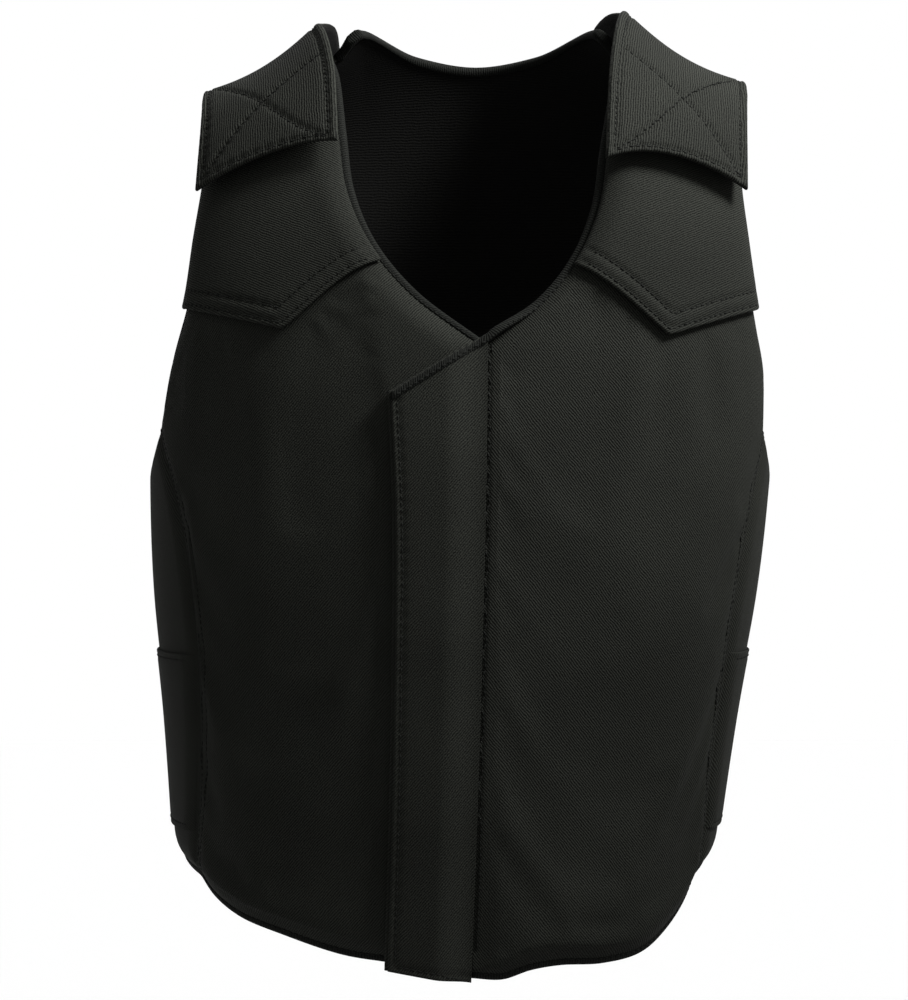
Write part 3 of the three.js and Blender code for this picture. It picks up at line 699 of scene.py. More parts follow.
def woven(name, rib, turn, pitch, depth, gloss=0.02):
    """A woven cloth with raised ribs: pitch and depth in millimetres, turn in degrees from level."""
    material = bpy.data.materials.get(name)
    if material:
        return material
    material = bpy.data.materials.new(name)
    material.use_nodes = True
    tree = material.node_tree
    tree.nodes.clear()
    place = add(tree, "ShaderNodeUVMap", uv_map="weave").outputs["UV"]
    # Threads wander a little from their line, by about a third of the rib's pitch.
    wander = add(
        tree, "ShaderNodeTexNoise", {"Vector": place, "Scale": WANDER, "Detail": 3.0}, noise_dimensions="2D"
    ).outputs["Color"]
    shift = add(tree, "ShaderNodeVectorMath", {0: wander, 1: (pitch,) * 3}, operation="MULTIPLY").outputs[0]
    moved = add(tree, "ShaderNodeVectorMath", {0: place, 1: shift}, operation="ADD").outputs[0]
    lie = add(
        tree, "ShaderNodeVectorRotate", {"Vector": moved, "Angle": np.radians(turn)}, rotation_type="Z_AXIS"
    ).outputs[0]
    # A wave's bands repeat every pi / (10 * scale).
    ribs = add(
        tree, "ShaderNodeTexWave", {"Vector": lie, "Scale": np.pi / 10 / pitch},
        bands_direction="Y", wave_profile="SIN",
    ).outputs["Fac"]
    # Crossing yarns break the ribs into short floats.
    yarn = add(
        tree, "ShaderNodeTexNoise", {"Vector": place, "Scale": YARNS / pitch, "Detail": 1.0},
        noise_dimensions="2D",
    ).outputs["Fac"]
    wear = add(
        tree, "ShaderNodeTexNoise", {"Vector": place, "Scale": WEAR, "Detail": 4.0}, noise_dimensions="2D"
    ).outputs["Fac"]
    height = add(
        tree, "ShaderNodeMath", {0: yarn, 1: YARN_HEIGHT, 2: ribs}, operation="MULTIPLY_ADD"
    ).outputs[0]
    share = add(tree, "ShaderNodeMapRange", {"Value": height, 1: 0.4, 2: 1.75}).outputs[0]
    # The colour follows the height: painted shade in the low valleys, the cloth's own colour on the raised ribs.
    colours = {0: share, 6: linear(VALLEY_SHADE), 7: linear(rib)}
    colour = add(tree, "ShaderNodeMix", colours, data_type="RGBA").outputs[2]
    tone = add(tree, "ShaderNodeMapRange", {"Value": wear, 1: 0.3, 2: 0.7, 3: TONE[0], 4: TONE[1]}).outputs[0]
    toned = add(tree, "ShaderNodeVectorMath", {0: colour, "Scale": tone}, operation="SCALE").outputs[0]
    rough = add(tree, "ShaderNodeMapRange", {"Value": share, 3: ROUGH[0], 4: ROUGH[1]}).outputs[0]
    bump = add(tree, "ShaderNodeBump", {"Height": height, "Strength": 0.7, "Distance": depth * MM})
    shader = add(tree, "ShaderNodeBsdfPrincipled", {
        "Base Color": toned, "Roughness": rough, "Normal": bump.outputs[0], "IOR": 1.5,
        "Specular IOR Level": gloss, "Sheen Weight": 0.004, "Sheen Roughness": 0.5,
    })
    add(tree, "ShaderNodeOutputMaterial", {"Surface": shader.outputs[0]})
    return material


def vest_materials(colours):
    twill, rib, tape = hex_of(colours.twill), hex_of(colours.ribbed), hex_of(colours.tape)
    return {
        # Cotton and polyester twill, woven and piece-dyed: fine slanted ribs, matt, with a faint bloom.
        # A real rib is about 0.8 mm; it is drawn at 1.2 mm so that it shows.
        "twill_right": woven("polycotton twill, woven right-hand", twill, -50, **TWILL),
        # The same cloth with its ribs the other way, for the wearer's left.
        "twill_left": woven("polycotton twill, woven left-hand", twill, 50, **TWILL),
        # The same cloth cut across the grain for the yokes: the ribs lie flatter.
        "yoke_right": woven("polycotton twill, cut across, right", twill, 22, **TWILL),
        "yoke_left": woven("polycotton twill, cut across, left", twill, -24, **TWILL),
        # Ribbed cotton drill, woven with heavy warp cords: lengthwise ribs and a drier surface.
        "ribbed": woven("ribbed cotton drill, woven", rib, 90, pitch=1.4, depth=0.4),
        # Binding tape, woven narrow and folded over the edge: close ribs across its length.
        "tape": woven("cotton binding tape, woven and folded", tape, 90, pitch=1.4, depth=0.3),
        # Nylon lining, warp knitted and brushed: smooth, dull and black.
        "lining": woven("nylon lining, warp knitted", "#0a0a09", 0, pitch=1.8, depth=0.15),
        # Polyester thread, twisted: a little glossier than the cloth it holds.
        "thread": woven("polyester thread, twisted", hex_of(colours.thread), 35, 0.6, 0.1, gloss=0.03),
    }


def make_object(name, points, faces, uv, materials, slots=None):
    mesh = bpy.data.meshes.new(name)
    mesh.from_pydata((points * MM).tolist(), [], faces)
    corners = np.zeros(len(mesh.loops), np.int32)
    mesh.loops.foreach_get("vertex_index", corners)
    mesh.uv_layers.new(name="weave").uv.foreach_set("vector", uv[corners].astype(np.float32).ravel())
    for material in materials:
        mesh.materials.append(material)
    if slots is not None:
        mesh.polygons.foreach_set("material_index", np.asarray(slots, np.int32))
    mesh.shade_smooth()
    piece = bpy.data.objects.new(name, mesh)
    bpy.context.scene.collection.objects.link(piece)
    return piece


def grid_faces(rows, columns):
    ids = np.arange(rows * columns).reshape(rows, columns)
    return np.stack([ids[:-1, :-1], ids[:-1, 1:], ids[1:, 1:], ids[1:, :-1]], -1).reshape(-1, 4)


def sewn(name, outer, inner, uv, materials, welded):
    """A closed piece from its outer and inner cloth. welded pieces meet along a fold, others have a rim."""
    rows, columns = outer.shape[:2]
    count = rows * columns
    front = grid_faces(rows, columns)
    ids = np.arange(count).reshape(rows, columns)
    ring = np.concatenate([ids[0, :-1], ids[:-1, -1], ids[-1, :0:-1], ids[:0:-1, 0]])
    after = np.roll(ring, -1)
    if welded:
        new_id = np.arange(count) + count
        new_id[ring] = ring
        kept = np.setdiff1d(np.arange(count), ring)
        new_id[kept] = count + np.arange(len(kept))
        points = np.vstack([outer.reshape(-1, 3), inner.reshape(-1, 3)[kept]])
        marked = np.vstack([uv.reshape(-1, 2), uv.reshape(-1, 2)[kept]])
        faces, slots = np.vstack([front, new_id[front[:, ::-1]]]), np.repeat([0, 1], len(front))
    else:
        points = np.vstack([outer.reshape(-1, 3), inner.reshape(-1, 3)])
        marked = np.vstack([uv.reshape(-1, 2)] * 2)
        rim = np.stack([after, ring, ring + count, after + count], -1)
        faces = np.vstack([front, front[:, ::-1] + count, rim])
        slots = np.concatenate([np.zeros(len(front)), np.ones(len(front)), np.zeros(len(rim))])
    a, b, c = (points[faces[:, i]] for i in range(3))
    d = points[faces[:, 3]]
    if (np.einsum("ij,ij->i", a, np.cross(b, c)) + np.einsum("ij,ij->i", a, np.cross(c, d))).sum() < 0:
        faces = faces[:, ::-1]
    return make_object(name, points, faces.tolist(), marked, materials, slots)


def dress(piece, node, slot):
    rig.ride(piece, "root")
    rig.replaces(piece, node)
    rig.slot(piece, slot)


def uneven(x, z):
    """Slow unevenness of a filled panel, about a millimetre from hollow to crown."""
    return 0.2 * np.sin(x / 23 + 0.6 * np.sin(z / 41)) * np.sin(z / 37 + 1.3) + 0.25 * np.sin(x / 31 - z / 47)


# The cloth is settled on every second row and column, and moved no further than the limit.
SETTLE = {"frames": 18, "every": 2, "limit": 2.0}
SETTLING_CLOTH = {
    "vertex_group_mass": "pinned",
    "quality": 8,
    "mass": 0.3,
    "tension_stiffness": 40,
    "compression_stiffness": 40,
    "shear_stiffness": 20,
    "bending_stiffness": 6,
    "tension_damping": 25,
    "compression_damping": 25,
    "air_damping": 4,
    "shrink_min": -0.004,
    "use_pressure": True,
    "uniform_pressure_force": 0.3,
}


def settled(grid, pinned):
    """Lets the outer cloth of a panel settle under its weight and its filling; pinned points stay."""
    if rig.quick():
        return grid
    rows, columns = (np.unique(np.append(np.arange(0, n, SETTLE["every"]), n - 1)) for n in grid.shape[:2])
    coarse, held = grid[np.ix_(rows, columns)], pinned[np.ix_(rows, columns)]
    mesh = bpy.data.meshes.new("settling_cloth")
    faces = grid_faces(len(rows), len(columns)).tolist()
    mesh.from_pydata((coarse * MM).reshape(-1, 3).tolist(), [], faces)
    piece = bpy.data.objects.new("settling_cloth", mesh)
    scene = bpy.context.scene
    scene.collection.objects.link(piece)
    piece.vertex_groups.new(name="pinned").add(np.flatnonzero(held).tolist(), 1.0, "REPLACE")
    cloth = piece.modifiers.new("settling", "CLOTH")
    for setting, value in SETTLING_CLOTH.items():
        setattr(cloth.settings, setting, value)
    cloth.collision_settings.use_collision = False
    cloth.point_cache.frame_start, cloth.point_cache.frame_end = 1, SETTLE["frames"]
    for now in range(1, SETTLE["frames"] + 1):
        scene.frame_set(now)
    shown = piece.evaluated_get(bpy.context.evaluated_depsgraph_get()).data
    moved = np.empty(coarse.size)
    shown.vertices.foreach_get("co", moved)
    moved = moved.reshape(coarse.shape) / MM - coarse
    bpy.data.objects.remove(piece)
    scene.frame_set(1)
    length = np.linalg.norm(moved, axis=-1, keepdims=True)
    moved *= SETTLE["limit"] * np.tanh(length / SETTLE["limit"]) / np.maximum(length, 1e-6)
    moved = between(moved, rows, np.arange(grid.shape[0])).swapaxes(0, 1)
    return grid + between(moved, columns, np.arange(grid.shape[1])).swapaxes(0, 1)


def rim_dip(base, pad, lines):
    """How far padding thins towards its bound edges."""
    dip = np.zeros_like(pad)
    for line in lines:
        near = np.clip((distance_to(base, line) - RIM["flat"]) / RIM["fade"], 0, 1)
        dip = np.maximum(dip, RIM["share"] * pad * (1 - near) ** RIM["power"])
    return dip


# Where a panel's mesh is fine beside its edges, and its even step further in.
EDGE_MARKS = (0, 1.0, 1.9, 2.6, 3.3, 4.6, 6.0, 6.9, 7.6, 8.3, 9.6)
PANEL_STEP = 3.2
PANEL_ROW = {"depth": 0.7, "width": 1.3}
# A panel's waves fade out towards the first dip, and its cloth is pinned past the second.
CALM_DIP, PINNED_DIP = 2.5, 0.9


def padded_panel(name, patch, bound, seams, rows, materials, inset, covered=None):
    """A filled panel. bound edges thin to the binding; seams are (line, dip by distance and height).

    covered tells which places lie under other pieces, where the outer cloth can't swell.
    """
    width = steps_between(patch.on(np.linspace(0, 1, 40), 0.4)[None], 1).max()
    height = steps_between(patch.on(0.5, np.linspace(0, 1, 60))[:, None], 0).max()
    across, up = np.meshgrid(*(marks(length, PANEL_STEP, EDGE_MARKS) for length in (width, height)))
    span = steps_between(patch.on(across, up), 1)[:, -1:]
    rise = steps_between(patch.on(across, up), 0)[-1:, :]
    left, right = inset["left"](up[:, :1]) / span, inset["right"](up[:, :1]) / span
    across = left + (1 - left - right) * across
    low, high = inset["bottom"] / rise, inset["top"](across[-1:, :]) / rise
    up = low + (1 - low - high) * up
    place = patch.flat(across, up)
    x, k = patch.spot(across, up)
    base = patch.chart.lift(x, k, np.zeros_like(x))
    pad = level(k, "pad")
    dip = rim_dip(base, pad, bound)
    for line, depth in seams:
        dip = np.maximum(dip, depth(distance_to(base, line), base[..., 2]))
    waves = smooth(dip, CALM_DIP, 0.0) * uneven(x, place[..., 1])
    outer = patch.chart.lift(x, k, waves - dip - sewn_in(base, rows, **PANEL_ROW))
    inner = patch.chart.lift(x, k, -pad)
    if covered:
        pinned = (dip > PINNED_DIP) | covered(x, place[..., 1])
        pinned[[0, -1], :] = pinned[:, [0, -1]] = True
        outer = settled(outer, pinned)
    return sewn(name, outer, inner, weave_on(patch, across, up), materials, welded=False)


FOLD_MARKS = (0, 0.25, 0.6, 1.1, 1.8, 2.6, 3.5, 4.6, 6)
PLATE_STEP = 1.25
ALL_EDGES = ("left", "right", "bottom", "top")
# As shares of a plate's thickness: how far a fold reaches in, and how deep a row of stitches presses.
FOLD_REACH, PRESS_DEPTH = 0.62, 0.24
# A row's width, and the share of the upper half of the plate that it may press away.
PRESS_WIDTH, PRESS_LIMIT = 1.7, 0.8


def soft_plate(name, on, size, free, thick, rows, under, materials, weave):
    """A flat layered piece on a surface: its free edges are folds, and rows of stitches press it in."""
    across, up = np.meshgrid(*(marks(length, PLATE_STEP, FOLD_MARKS) for length in size))
    base = on(across, up, 0.0)
    run, rise = steps_between(base, 1), steps_between(base, 0)
    edges = {"left": run, "right": run[:, -1:] - run, "bottom": rise, "top": rise[-1:] - rise}
    near = np.min([edges[edge] for edge in free], axis=0)
    inward = np.clip(near / (FOLD_REACH * thick), 0, 1)
    half = thick / 2 * np.sqrt(np.clip(1 - (1 - inward) ** 2, 0, 1))
    pressed = np.minimum(sewn_in(base, rows, PRESS_DEPTH * thick, PRESS_WIDTH), PRESS_LIMIT * half)
    middle = under(across, up) + thick / 2
    outer, inner = on(across, up, middle + half - pressed), on(across, up, middle - half)
    return sewn(name, outer, inner, weave(across, up), materials, welded=True)


# Upper half of a binding's section: share of its width towards the edge, and of its half-thickness.
BINDING_SECTION = [
    (0, 0.8), (0.05, 0.98), (0.16, 1.06), (0.4, 1.05), (0.62, 1), (0.8, 0.86), (0.92, 0.62), (0.985, 0.3),
]
# Share of the flap's top where its binding starts to turn level with the neck's.
FLAP_TURN = 0.7


def panel_layer(s, t, k):
    """Middle and half-thickness of a binding on a panel's thin rim."""
    pad = level(k, "pad")
    return -pad * (1 + RIM["share"]) / 2, pad * (1 - RIM["share"]) / 2 + BINDING["tape"]


def left_layer(s, t, k):
    """The same on the neck of the wearer's left, which rises onto the flap at the point."""
    middle, reach = panel_layer(s, t, k)
    return middle + BINDING["rise"] * smooth(t, NECK_SHARE + BINDING["rise_share"], NECK_SHARE), reach


def flap_layer(s, t, k):
    """The same along the flap's top, level with the neck's binding where they meet."""
    meet, reach = panel_layer(s, t, k)
    turn = smooth(s, FLAP_TURN, 1.0)
    half = FLAP["thick"] / 2 + BINDING["flap_clear"]
    middle = lerp(flap_under(s, t) + half, meet + BINDING["rise"], turn)
    return middle, lerp(half + BINDING["tape"], reach, turn)


def binding_stations(patch, edge, along, layer=panel_layer):
    """Cross-sections of a binding at places along one edge of a panel."""
    section = np.array(BINDING_SECTION + [(out, -half) for out, half in BINDING_SECTION[::-1]])
    inward = (BINDING["width"] * (1 - section[:, 0]) + GAP / 2) / patch.speed(edge, along)[:, None]
    s, t = patch.shares(edge, inward, np.repeat(along[:, None], len(section), 1))
    x, k = patch.spot(s, t)
    middle, reach = layer(s, t, k)
    return patch.chart.lift(x, k, middle + section[:, 1] * reach)


TUBE_STEP = 3


def tube(name, stations, materials):
    """A closed piece through cross-sections of equal count, with its two ends filled."""
    run = steps_between(stations.mean(1)[None], 1)[0]
    even = np.linspace(0, run[-1], max(int(run[-1] / TUBE_STEP), 2) + 1)
    grid = between(stations, run, even)
    rows, columns = grid.shape[:2]
    ids = np.arange(rows * columns).reshape(rows, columns)
    beside = np.roll(ids, -1, 1)
    faces = np.stack([ids[:-1], beside[:-1], beside[1:], ids[1:]], -1).reshape(-1, 4).tolist()
    faces += [ids[0, ::-1].tolist(), ids[-1].tolist()]
    across = steps_between(grid, 1)
    uv = np.stack([np.broadcast_to(even[:, None], across.shape), across], -1).reshape(-1, 2)
    outward = (grid - grid.mean(1, keepdims=True))[:-1]
    normals = np.cross((np.roll(grid, -1, 1) - grid)[:-1], np.diff(grid, axis=0))
    if (outward * normals).sum() < 0:
        faces = [face[::-1] for face in faces]
    return make_object(name, grid.reshape(-1, 3), faces, uv, materials)


def surface_of(name):
    """The finished surface of a piece, for laying stitches on."""
    mesh = bpy.data.objects[name].data
    points = [corner.co for corner in mesh.vertices]
    return BVHTree.FromPolygons(points, [list(face.vertices) for face in mesh.polygons])


# Rings of a stitch: share of its length, width and height as shares of the thread's radius.
STITCH_RINGS = [(0.0, 0.3, -0.35), (0.12, 0.8, 0.1), (0.5, 1.0, 0.32), (0.88, 0.8, 0.1), (1.0, 0.3, -0.35)]
STITCH_SIDES = 6
STITCH_LINE_STEP = 0.8


def stitch_faces():
    """Faces of one stitch, ring by ring, with its two ends filled."""
    ids = np.arange(len(STITCH_RINGS) * STITCH_SIDES).reshape(-1, STITCH_SIDES)
    beside = np.roll(ids, -1, 1)
    sides = np.stack([ids[:-1], ids[1:], beside[1:], beside[:-1]], -1).reshape(-1, 4)
    return sides.tolist() + [ids[0].tolist(), ids[-1, ::-1].tolist()]


def stitch_rows(name, rows, surface, sizes, material):
    """Threads along lines of points: each stitch is a short bead that dips into the cloth at both ends."""
    pitch, length, radius = sizes.stitch_pitch, sizes.stitch_length, sizes.thread_width / 2
    points, faces, uv = [], [], []
    bead = stitch_faces()
    turn = np.linspace(0, 2 * np.pi, STITCH_SIDES, endpoint=False)
    across, upward = np.cos(turn)[:, None], np.sin(turn)[:, None]
    for row in rows:
        line = resampled(row, STITCH_LINE_STEP) * MM
        run = steps_between(line[None], 1)[0]
        for start in np.arange(pitch / 2, run[-1] - length, pitch):
            ends = between(line, run, [start, start + length])
            found = [surface.find_nearest(Vector(end)) for end in ends]
            a, b = np.array(found[0][0]), np.array(found[1][0])
            normal = np.array(found[0][1] + found[1][1])
            along = b - a
            # A stitch that a sharp edge would fold up is left out.
            if np.linalg.norm(along) < length / 3 or np.linalg.norm(normal) < 0.5:
                continue
            normal -= along * (normal @ along) / (along @ along)
            normal /= np.linalg.norm(normal)
            beside = np.cross(normal, along / np.linalg.norm(along))
            faces += [[len(points) + corner for corner in face] for face in bead]
            for share, wide, high in STITCH_RINGS:
                centre = a + along * share + normal * high * radius
                points += list(centre + radius * wide * (across * beside + upward * normal))
                uv += [(share * length / MM, angle * radius / MM) for angle in turn]
    piece = make_object(name, np.array(points) / MM, faces, np.array(uv), [material])
    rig.ride(piece, "root")
    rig.slot(piece, "edge_tape")


def length_in_metres(name, description, default, precision=2):
    return FloatProperty(
        name=name, description=description, default=default, unit="LENGTH", precision=precision
    )


def picked_colour(name, description, colour):
    return FloatVectorProperty(
        name=name, description=description, default=linear(colour)[:3], subtype="COLOR", size=3, min=0, max=1
    )


class VestSizes(bpy.types.PropertyGroup):
    stitch_pitch: length_in_metres("Stitch pitch", "Distance from one stitch to the next", 0.0034, 4)
    stitch_length: length_in_metres("Stitch length", "Length of thread that shows in each stitch", 0.0025, 4)
    thread_width: length_in_metres("Thread width", "Thickness of the sewing thread", 0.00085, 5)
    camera_distance: length_in_metres("Camera distance", "From the camera to the middle of the vest", 1.3)
    lens: FloatProperty(name="Lens", description="Focal length of the camera in millimetres", default=83.1)
    floor_drop: length_in_metres("Floor drop", "Height of the floor under the shoulders", -1.0)


class VestColours(bpy.types.PropertyGroup):
    twill: picked_colour("Twill", "Ribs of the panels' cloth", "#181916")
    ribbed: picked_colour("Ribbed drill", "Ribs of the shoulder straps", "#191a17")
    tape: picked_colour("Binding tape", "Tape round the edges", "#0f100e")
    thread: picked_colour("Thread", "Sewing thread", "#0f100e")
    floor: picked_colour("Floor", "Studio floor", "#ffffff")


PANELS = {
    node: f"{node}_padded"
    for node in ("front_panel_right", "front_panel_left", "back_panel", "side_panel_right", "side_panel_left")
}
PANEL_FILL, STRAP_FILL = 0.85, 0.7


def flat_cut(patch):
    """The box around a sheet laid flat and the area of its cut, in metres."""
    shares = np.linspace(0, 1, 60)
    grid = patch.on(*np.meshgrid(shares, shares)) * MM
    box = steps_between(grid, 1)[:, -1].max(), steps_between(grid, 0)[-1].max()
    cells = np.cross(grid[1:, 1:] - grid[:-1, :-1], grid[1:, :-1] - grid[:-1, 1:])
    return {"flat": box, "area": 0.5 * np.linalg.norm(cells, axis=-1).sum()}


# Rows of stitches: their distance from the edge, and the shares where they start and end along it.
SEAM_ROWS = (2.6, 7.6)
YOKE_ROWS = (2.9, 10.2)
EDGE_ROW = 3.5
FRONT_SEAM_ROW = 1.3
ROW_POINTS = 120
# A row is drawn this far above its piece, and each stitch then drops onto it.
ROW_CLEAR, STRAP_ROW_CLEAR = 2, 1
ROW_ENDS = {
    "side_seam": (0.012, NECK_SHARE - 0.005),
    "front_seam": (0.02, NECK_SHARE - 0.004),
    "yoke": (0.035, 0.965),
    "flap_edge": (0.012, 0.985),
    "flap_foot": (0.08, 0.97),
    "flap_top": (0.03, 0.97),
    "tab": (0.03, 0.97),
    "neck": (NECK_SHARE + 0.008, 0.99),
    "armhole": (NECK_SHARE + 0.005, 0.99),
    "armpit": (0.03, 0.97),
    "back_neck": (BACK_SHOULDER + 0.01, 1 - BACK_SHOULDER - 0.01),
    "hem": (0.01, 0.99),
    "side_hem": (0.04, 0.96),
}


def inset_line(patch, edge, distance, row, lift=0.0):
    """A row's line on a patch at a distance inside one edge, lifted off the surface."""
    u = np.linspace(*ROW_ENDS[row], ROW_POINTS)
    return patch.on(*patch.shares(edge, distance / patch.speed(edge, u), u), lift)


def front_rows(side):
    panel = front_patch(side)
    rows = [inset_line(panel, "right", distance, "side_seam") for distance in SEAM_ROWS]
    if side > 0:
        rows.append(inset_line(panel, "left", FRONT_SEAM_ROW, "front_seam"))
    return rows


def back_rows():
    back = back_patch()
    return [inset_line(back, edge, d, "side_seam") for edge in ("left", "right") for d in SEAM_ROWS]


def yoke_rows(side, lift=0.0):
    """Two rows that follow the yoke's pointed lower edge."""
    yoke, rows = yoke_patch(side), []
    across, up = np.linspace(*ROW_ENDS["yoke"], 160), np.linspace(0.0, YOKE["rows_top"], 120)
    each = np.arange(len(across))
    away = distance_to(yoke.on(across[None], up[:, None]), yoke.edge("bottom", steps=200))
    for distance in YOKE_ROWS:
        first = np.argmax(away >= distance, axis=0)
        before = np.maximum(first - 1, 0)
        low, high = away[before, each], away[first, each]
        f = (distance - low) / np.maximum(high - low, 1e-6)
        rows.append(yoke.on(across, lerp(up[before], up[first], f), lift))
    return rows


def flap_rows(lift=0.0):
    edges = {"left": "flap_edge", "bottom": "flap_foot"}
    return [inset_line(flap_patch(), edge, EDGE_ROW, row, lift) for edge, row in edges.items()]


def tab_rows(side, lift=0.0):
    return [inset_line(tab_patch(side), edge, EDGE_ROW, "tab", lift) for edge in ("bottom", "top", "right")]


# Ends and middle of the cross on a strap, as shares of its width and length.
STRAP_CROSS = {
    "middle": (0.53, 0.14), "neck_tip": (0.06, 0.012), "neck_top": (0.06, 0.21), "arm_tip": (0.945, 0.02),
    "arm_top": (0.88, 0.345),
}
STRAP_END = 0.985


def strap_rows(side, lift=0.0):
    """The rows along a strap's edges and the cross on its front end."""
    cross = STRAP_CROSS
    inner, outer = cross["neck_tip"][0], cross["arm_tip"][0]
    lines = [
        [cross["neck_tip"], cross["arm_tip"]],
        [cross["neck_tip"], cross["middle"], cross["arm_top"]],
        [cross["neck_top"], cross["middle"], cross["arm_tip"]],
        [(inner, STRAP_END), (outer, STRAP_END)],
    ]
    rows = []
    for line in map(np.array, lines):
        across = np.linspace(line[0, 0], line[-1, 0], 80)
        rows.append((across, np.polyval(np.polyfit(line[:, 0], line[:, 1], len(line) - 1), across)))
    along = np.linspace(cross["neck_tip"][1], STRAP_END, 200)
    rows += [(np.full_like(along, at), along) for at in (inner, outer)]
    return [strap_on(side)(across, up, lift) for across, up in rows]


# How far beyond a covering piece cloth is held, and where the yokes, straps and tabs reach.
COVER = {
    "past_yoke": 6, "past_flap": 8, "past_tab": 8, "neck_x": 50, "arm_x": 160, "strap_z": -70, "tab_x": 100,
}


def front_covered(side):
    """Where a front panel lies under its yoke or the flap."""
    points = YOKE_POINTS[side]
    inner, outer = (COVER["neck_x"], points["neck_z"]), (COVER["arm_x"], points["arm_z"])
    low, edge = np.array([inner, points["bend"], points["tip"], outer]), np.array(FLAP_EDGE)

    def at(x, z):
        under_yoke = z > np.interp(np.abs(x), np.abs(low[:, 0]), low[:, 1]) - COVER["past_yoke"]
        under_flap = x > np.interp(z, edge[:, 1], edge[:, 0]) - COVER["past_flap"]
        return under_yoke | ((side < 0) & under_flap)
    return at


def back_covered(x, z):
    """Where the back lies under the straps and the ends of the side tabs."""
    tab_z = (z > TAB["bottom"] - COVER["past_tab"]) & (z < TAB["top"] + COVER["past_tab"])
    return (z > COVER["strap_z"]) | ((np.abs(x) > COVER["tab_x"]) & tab_z)


# How quickly, in shares, a panel's edge turns from a seam to a bound edge.
SEAM_END, SHOULDER_TURN = 0.006, 0.004


class VEST_OT_padded_panels(bpy.types.Operator):
    """Makes the filled front, back and side panels"""
    bl_idname = "vest.padded_panels"
    bl_label = "Padded Panels"

    def execute(self, context):
        cloth = vest_materials(context.scene.vest_colours)
        tuck = BINDING["width"] / 2

        def upper(t):
            return lerp(GAP / 2, tuck, smooth(t, NECK_SHARE - SEAM_END, NECK_SHARE))

        def side_dip(distance, z):
            return seam_dip(distance)

        def neck_tuck(s):
            past = np.minimum(s - BACK_SHOULDER, 1 - BACK_SHOULDER - s)
            return tuck * smooth(past, -SHOULDER_TURN, SHOULDER_TURN)

        def even(amount):
            return lambda shares: np.full_like(shares, amount)

        for side, name in SIDE_NAMES.items():
            made = [cloth[f"twill_{name}"], cloth["lining"]]
            patch = front_patch(side)
            bound = [patch.edge("left", NECK_SHARE), patch.edge("right", NECK_SHARE), patch.edge("bottom")]

            def valley(distance, z, side=side):
                return front_dip(distance, z, 0.0 if side < 0 else FLAP["thick"])

            dips = {"right": side_dip, "left": valley}
            seams = [(patch.edge(edge, 0, NECK_SHARE), dip) for edge, dip in dips.items()]
            inset = {"left": upper, "right": upper, "bottom": tuck, "top": even(0)}
            node = f"front_panel_{name}"
            panel = padded_panel(
                PANELS[node], patch, bound, seams, front_rows(side), made, inset, front_covered(side)
            )
            dress(panel, node, "panel_twill")
            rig.padded(panel, fill=PANEL_FILL)

            patch = side_patch(side)
            seams = [(patch.edge(edge), side_dip) for edge in ("left", "right")]
            inset = {"left": even(-GAP), "right": even(-GAP), "bottom": tuck, "top": even(tuck)}
            node = f"side_panel_{name}"
            bound = [patch.edge("bottom"), patch.edge("top")]
            panel = padded_panel(PANELS[node], patch, bound, seams, [], made, inset)
            dress(panel, node, "panel_twill")
            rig.padded(panel, fill=PANEL_FILL)

        patch = back_patch()
        bound = [patch.edge("left", NECK_SHARE), patch.edge("right", NECK_SHARE), patch.edge("bottom")]
        bound.append(patch.edge("top", BACK_SHOULDER, 1 - BACK_SHOULDER))
        seams = [(patch.edge(edge, 0, NECK_SHARE), side_dip) for edge in ("left", "right")]
        inset = {"left": upper, "right": upper, "bottom": tuck, "top": neck_tuck}
        made = [cloth["twill_right"], cloth["lining"]]
        name, rows = PANELS["back_panel"], back_rows()
        panel = padded_panel(name, patch, bound, seams, rows, made, inset, back_covered)
        dress(panel, "back_panel_lower", "panel_twill")
        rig.replaces(panel, "back_panel_upper_right", "back_panel_upper_left")
        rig.padded(panel, fill=PANEL_FILL)
        return {"FINISHED"}


class VEST_OT_front_flap(bpy.types.Operator):
    """Makes the folded flap that covers the front closure, with its facing"""
    bl_idname = "vest.front_flap"
    bl_label = "Front Flap"

    def execute(self, context):
        cloth = vest_materials(context.scene.vest_colours)
        made = [cloth["twill_right"], cloth["twill_right"]]
        half = FLAP["thick"] / 2
        free = ("left", "bottom", "top")

        def on_facing(s, t):
            return flap_under(s, t) + half

        facing, folded = flap_patch(FLAP["facing"]), flap_patch()
        layers = {
            "front_flap_facing": (facing, MESHED_AS["facing"], half, [], flap_under),
            "front_flap_folded": (folded, MESHED_AS["flap"], half + FLAP["fold"], flap_rows(), on_facing),
        }
        for name, (patch, size, thick, rows, under) in layers.items():
            weave = partial(weave_on, patch)
            piece = soft_plate(name, patch.on, size, free, thick, rows, under, made, weave)
            dress(piece, "front_flap", "panel_twill")
            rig.sheet(piece, **flat_cut(patch), held="stretched", rests_on=[PANELS["front_panel_right"]])
        return {"FINISHED"}


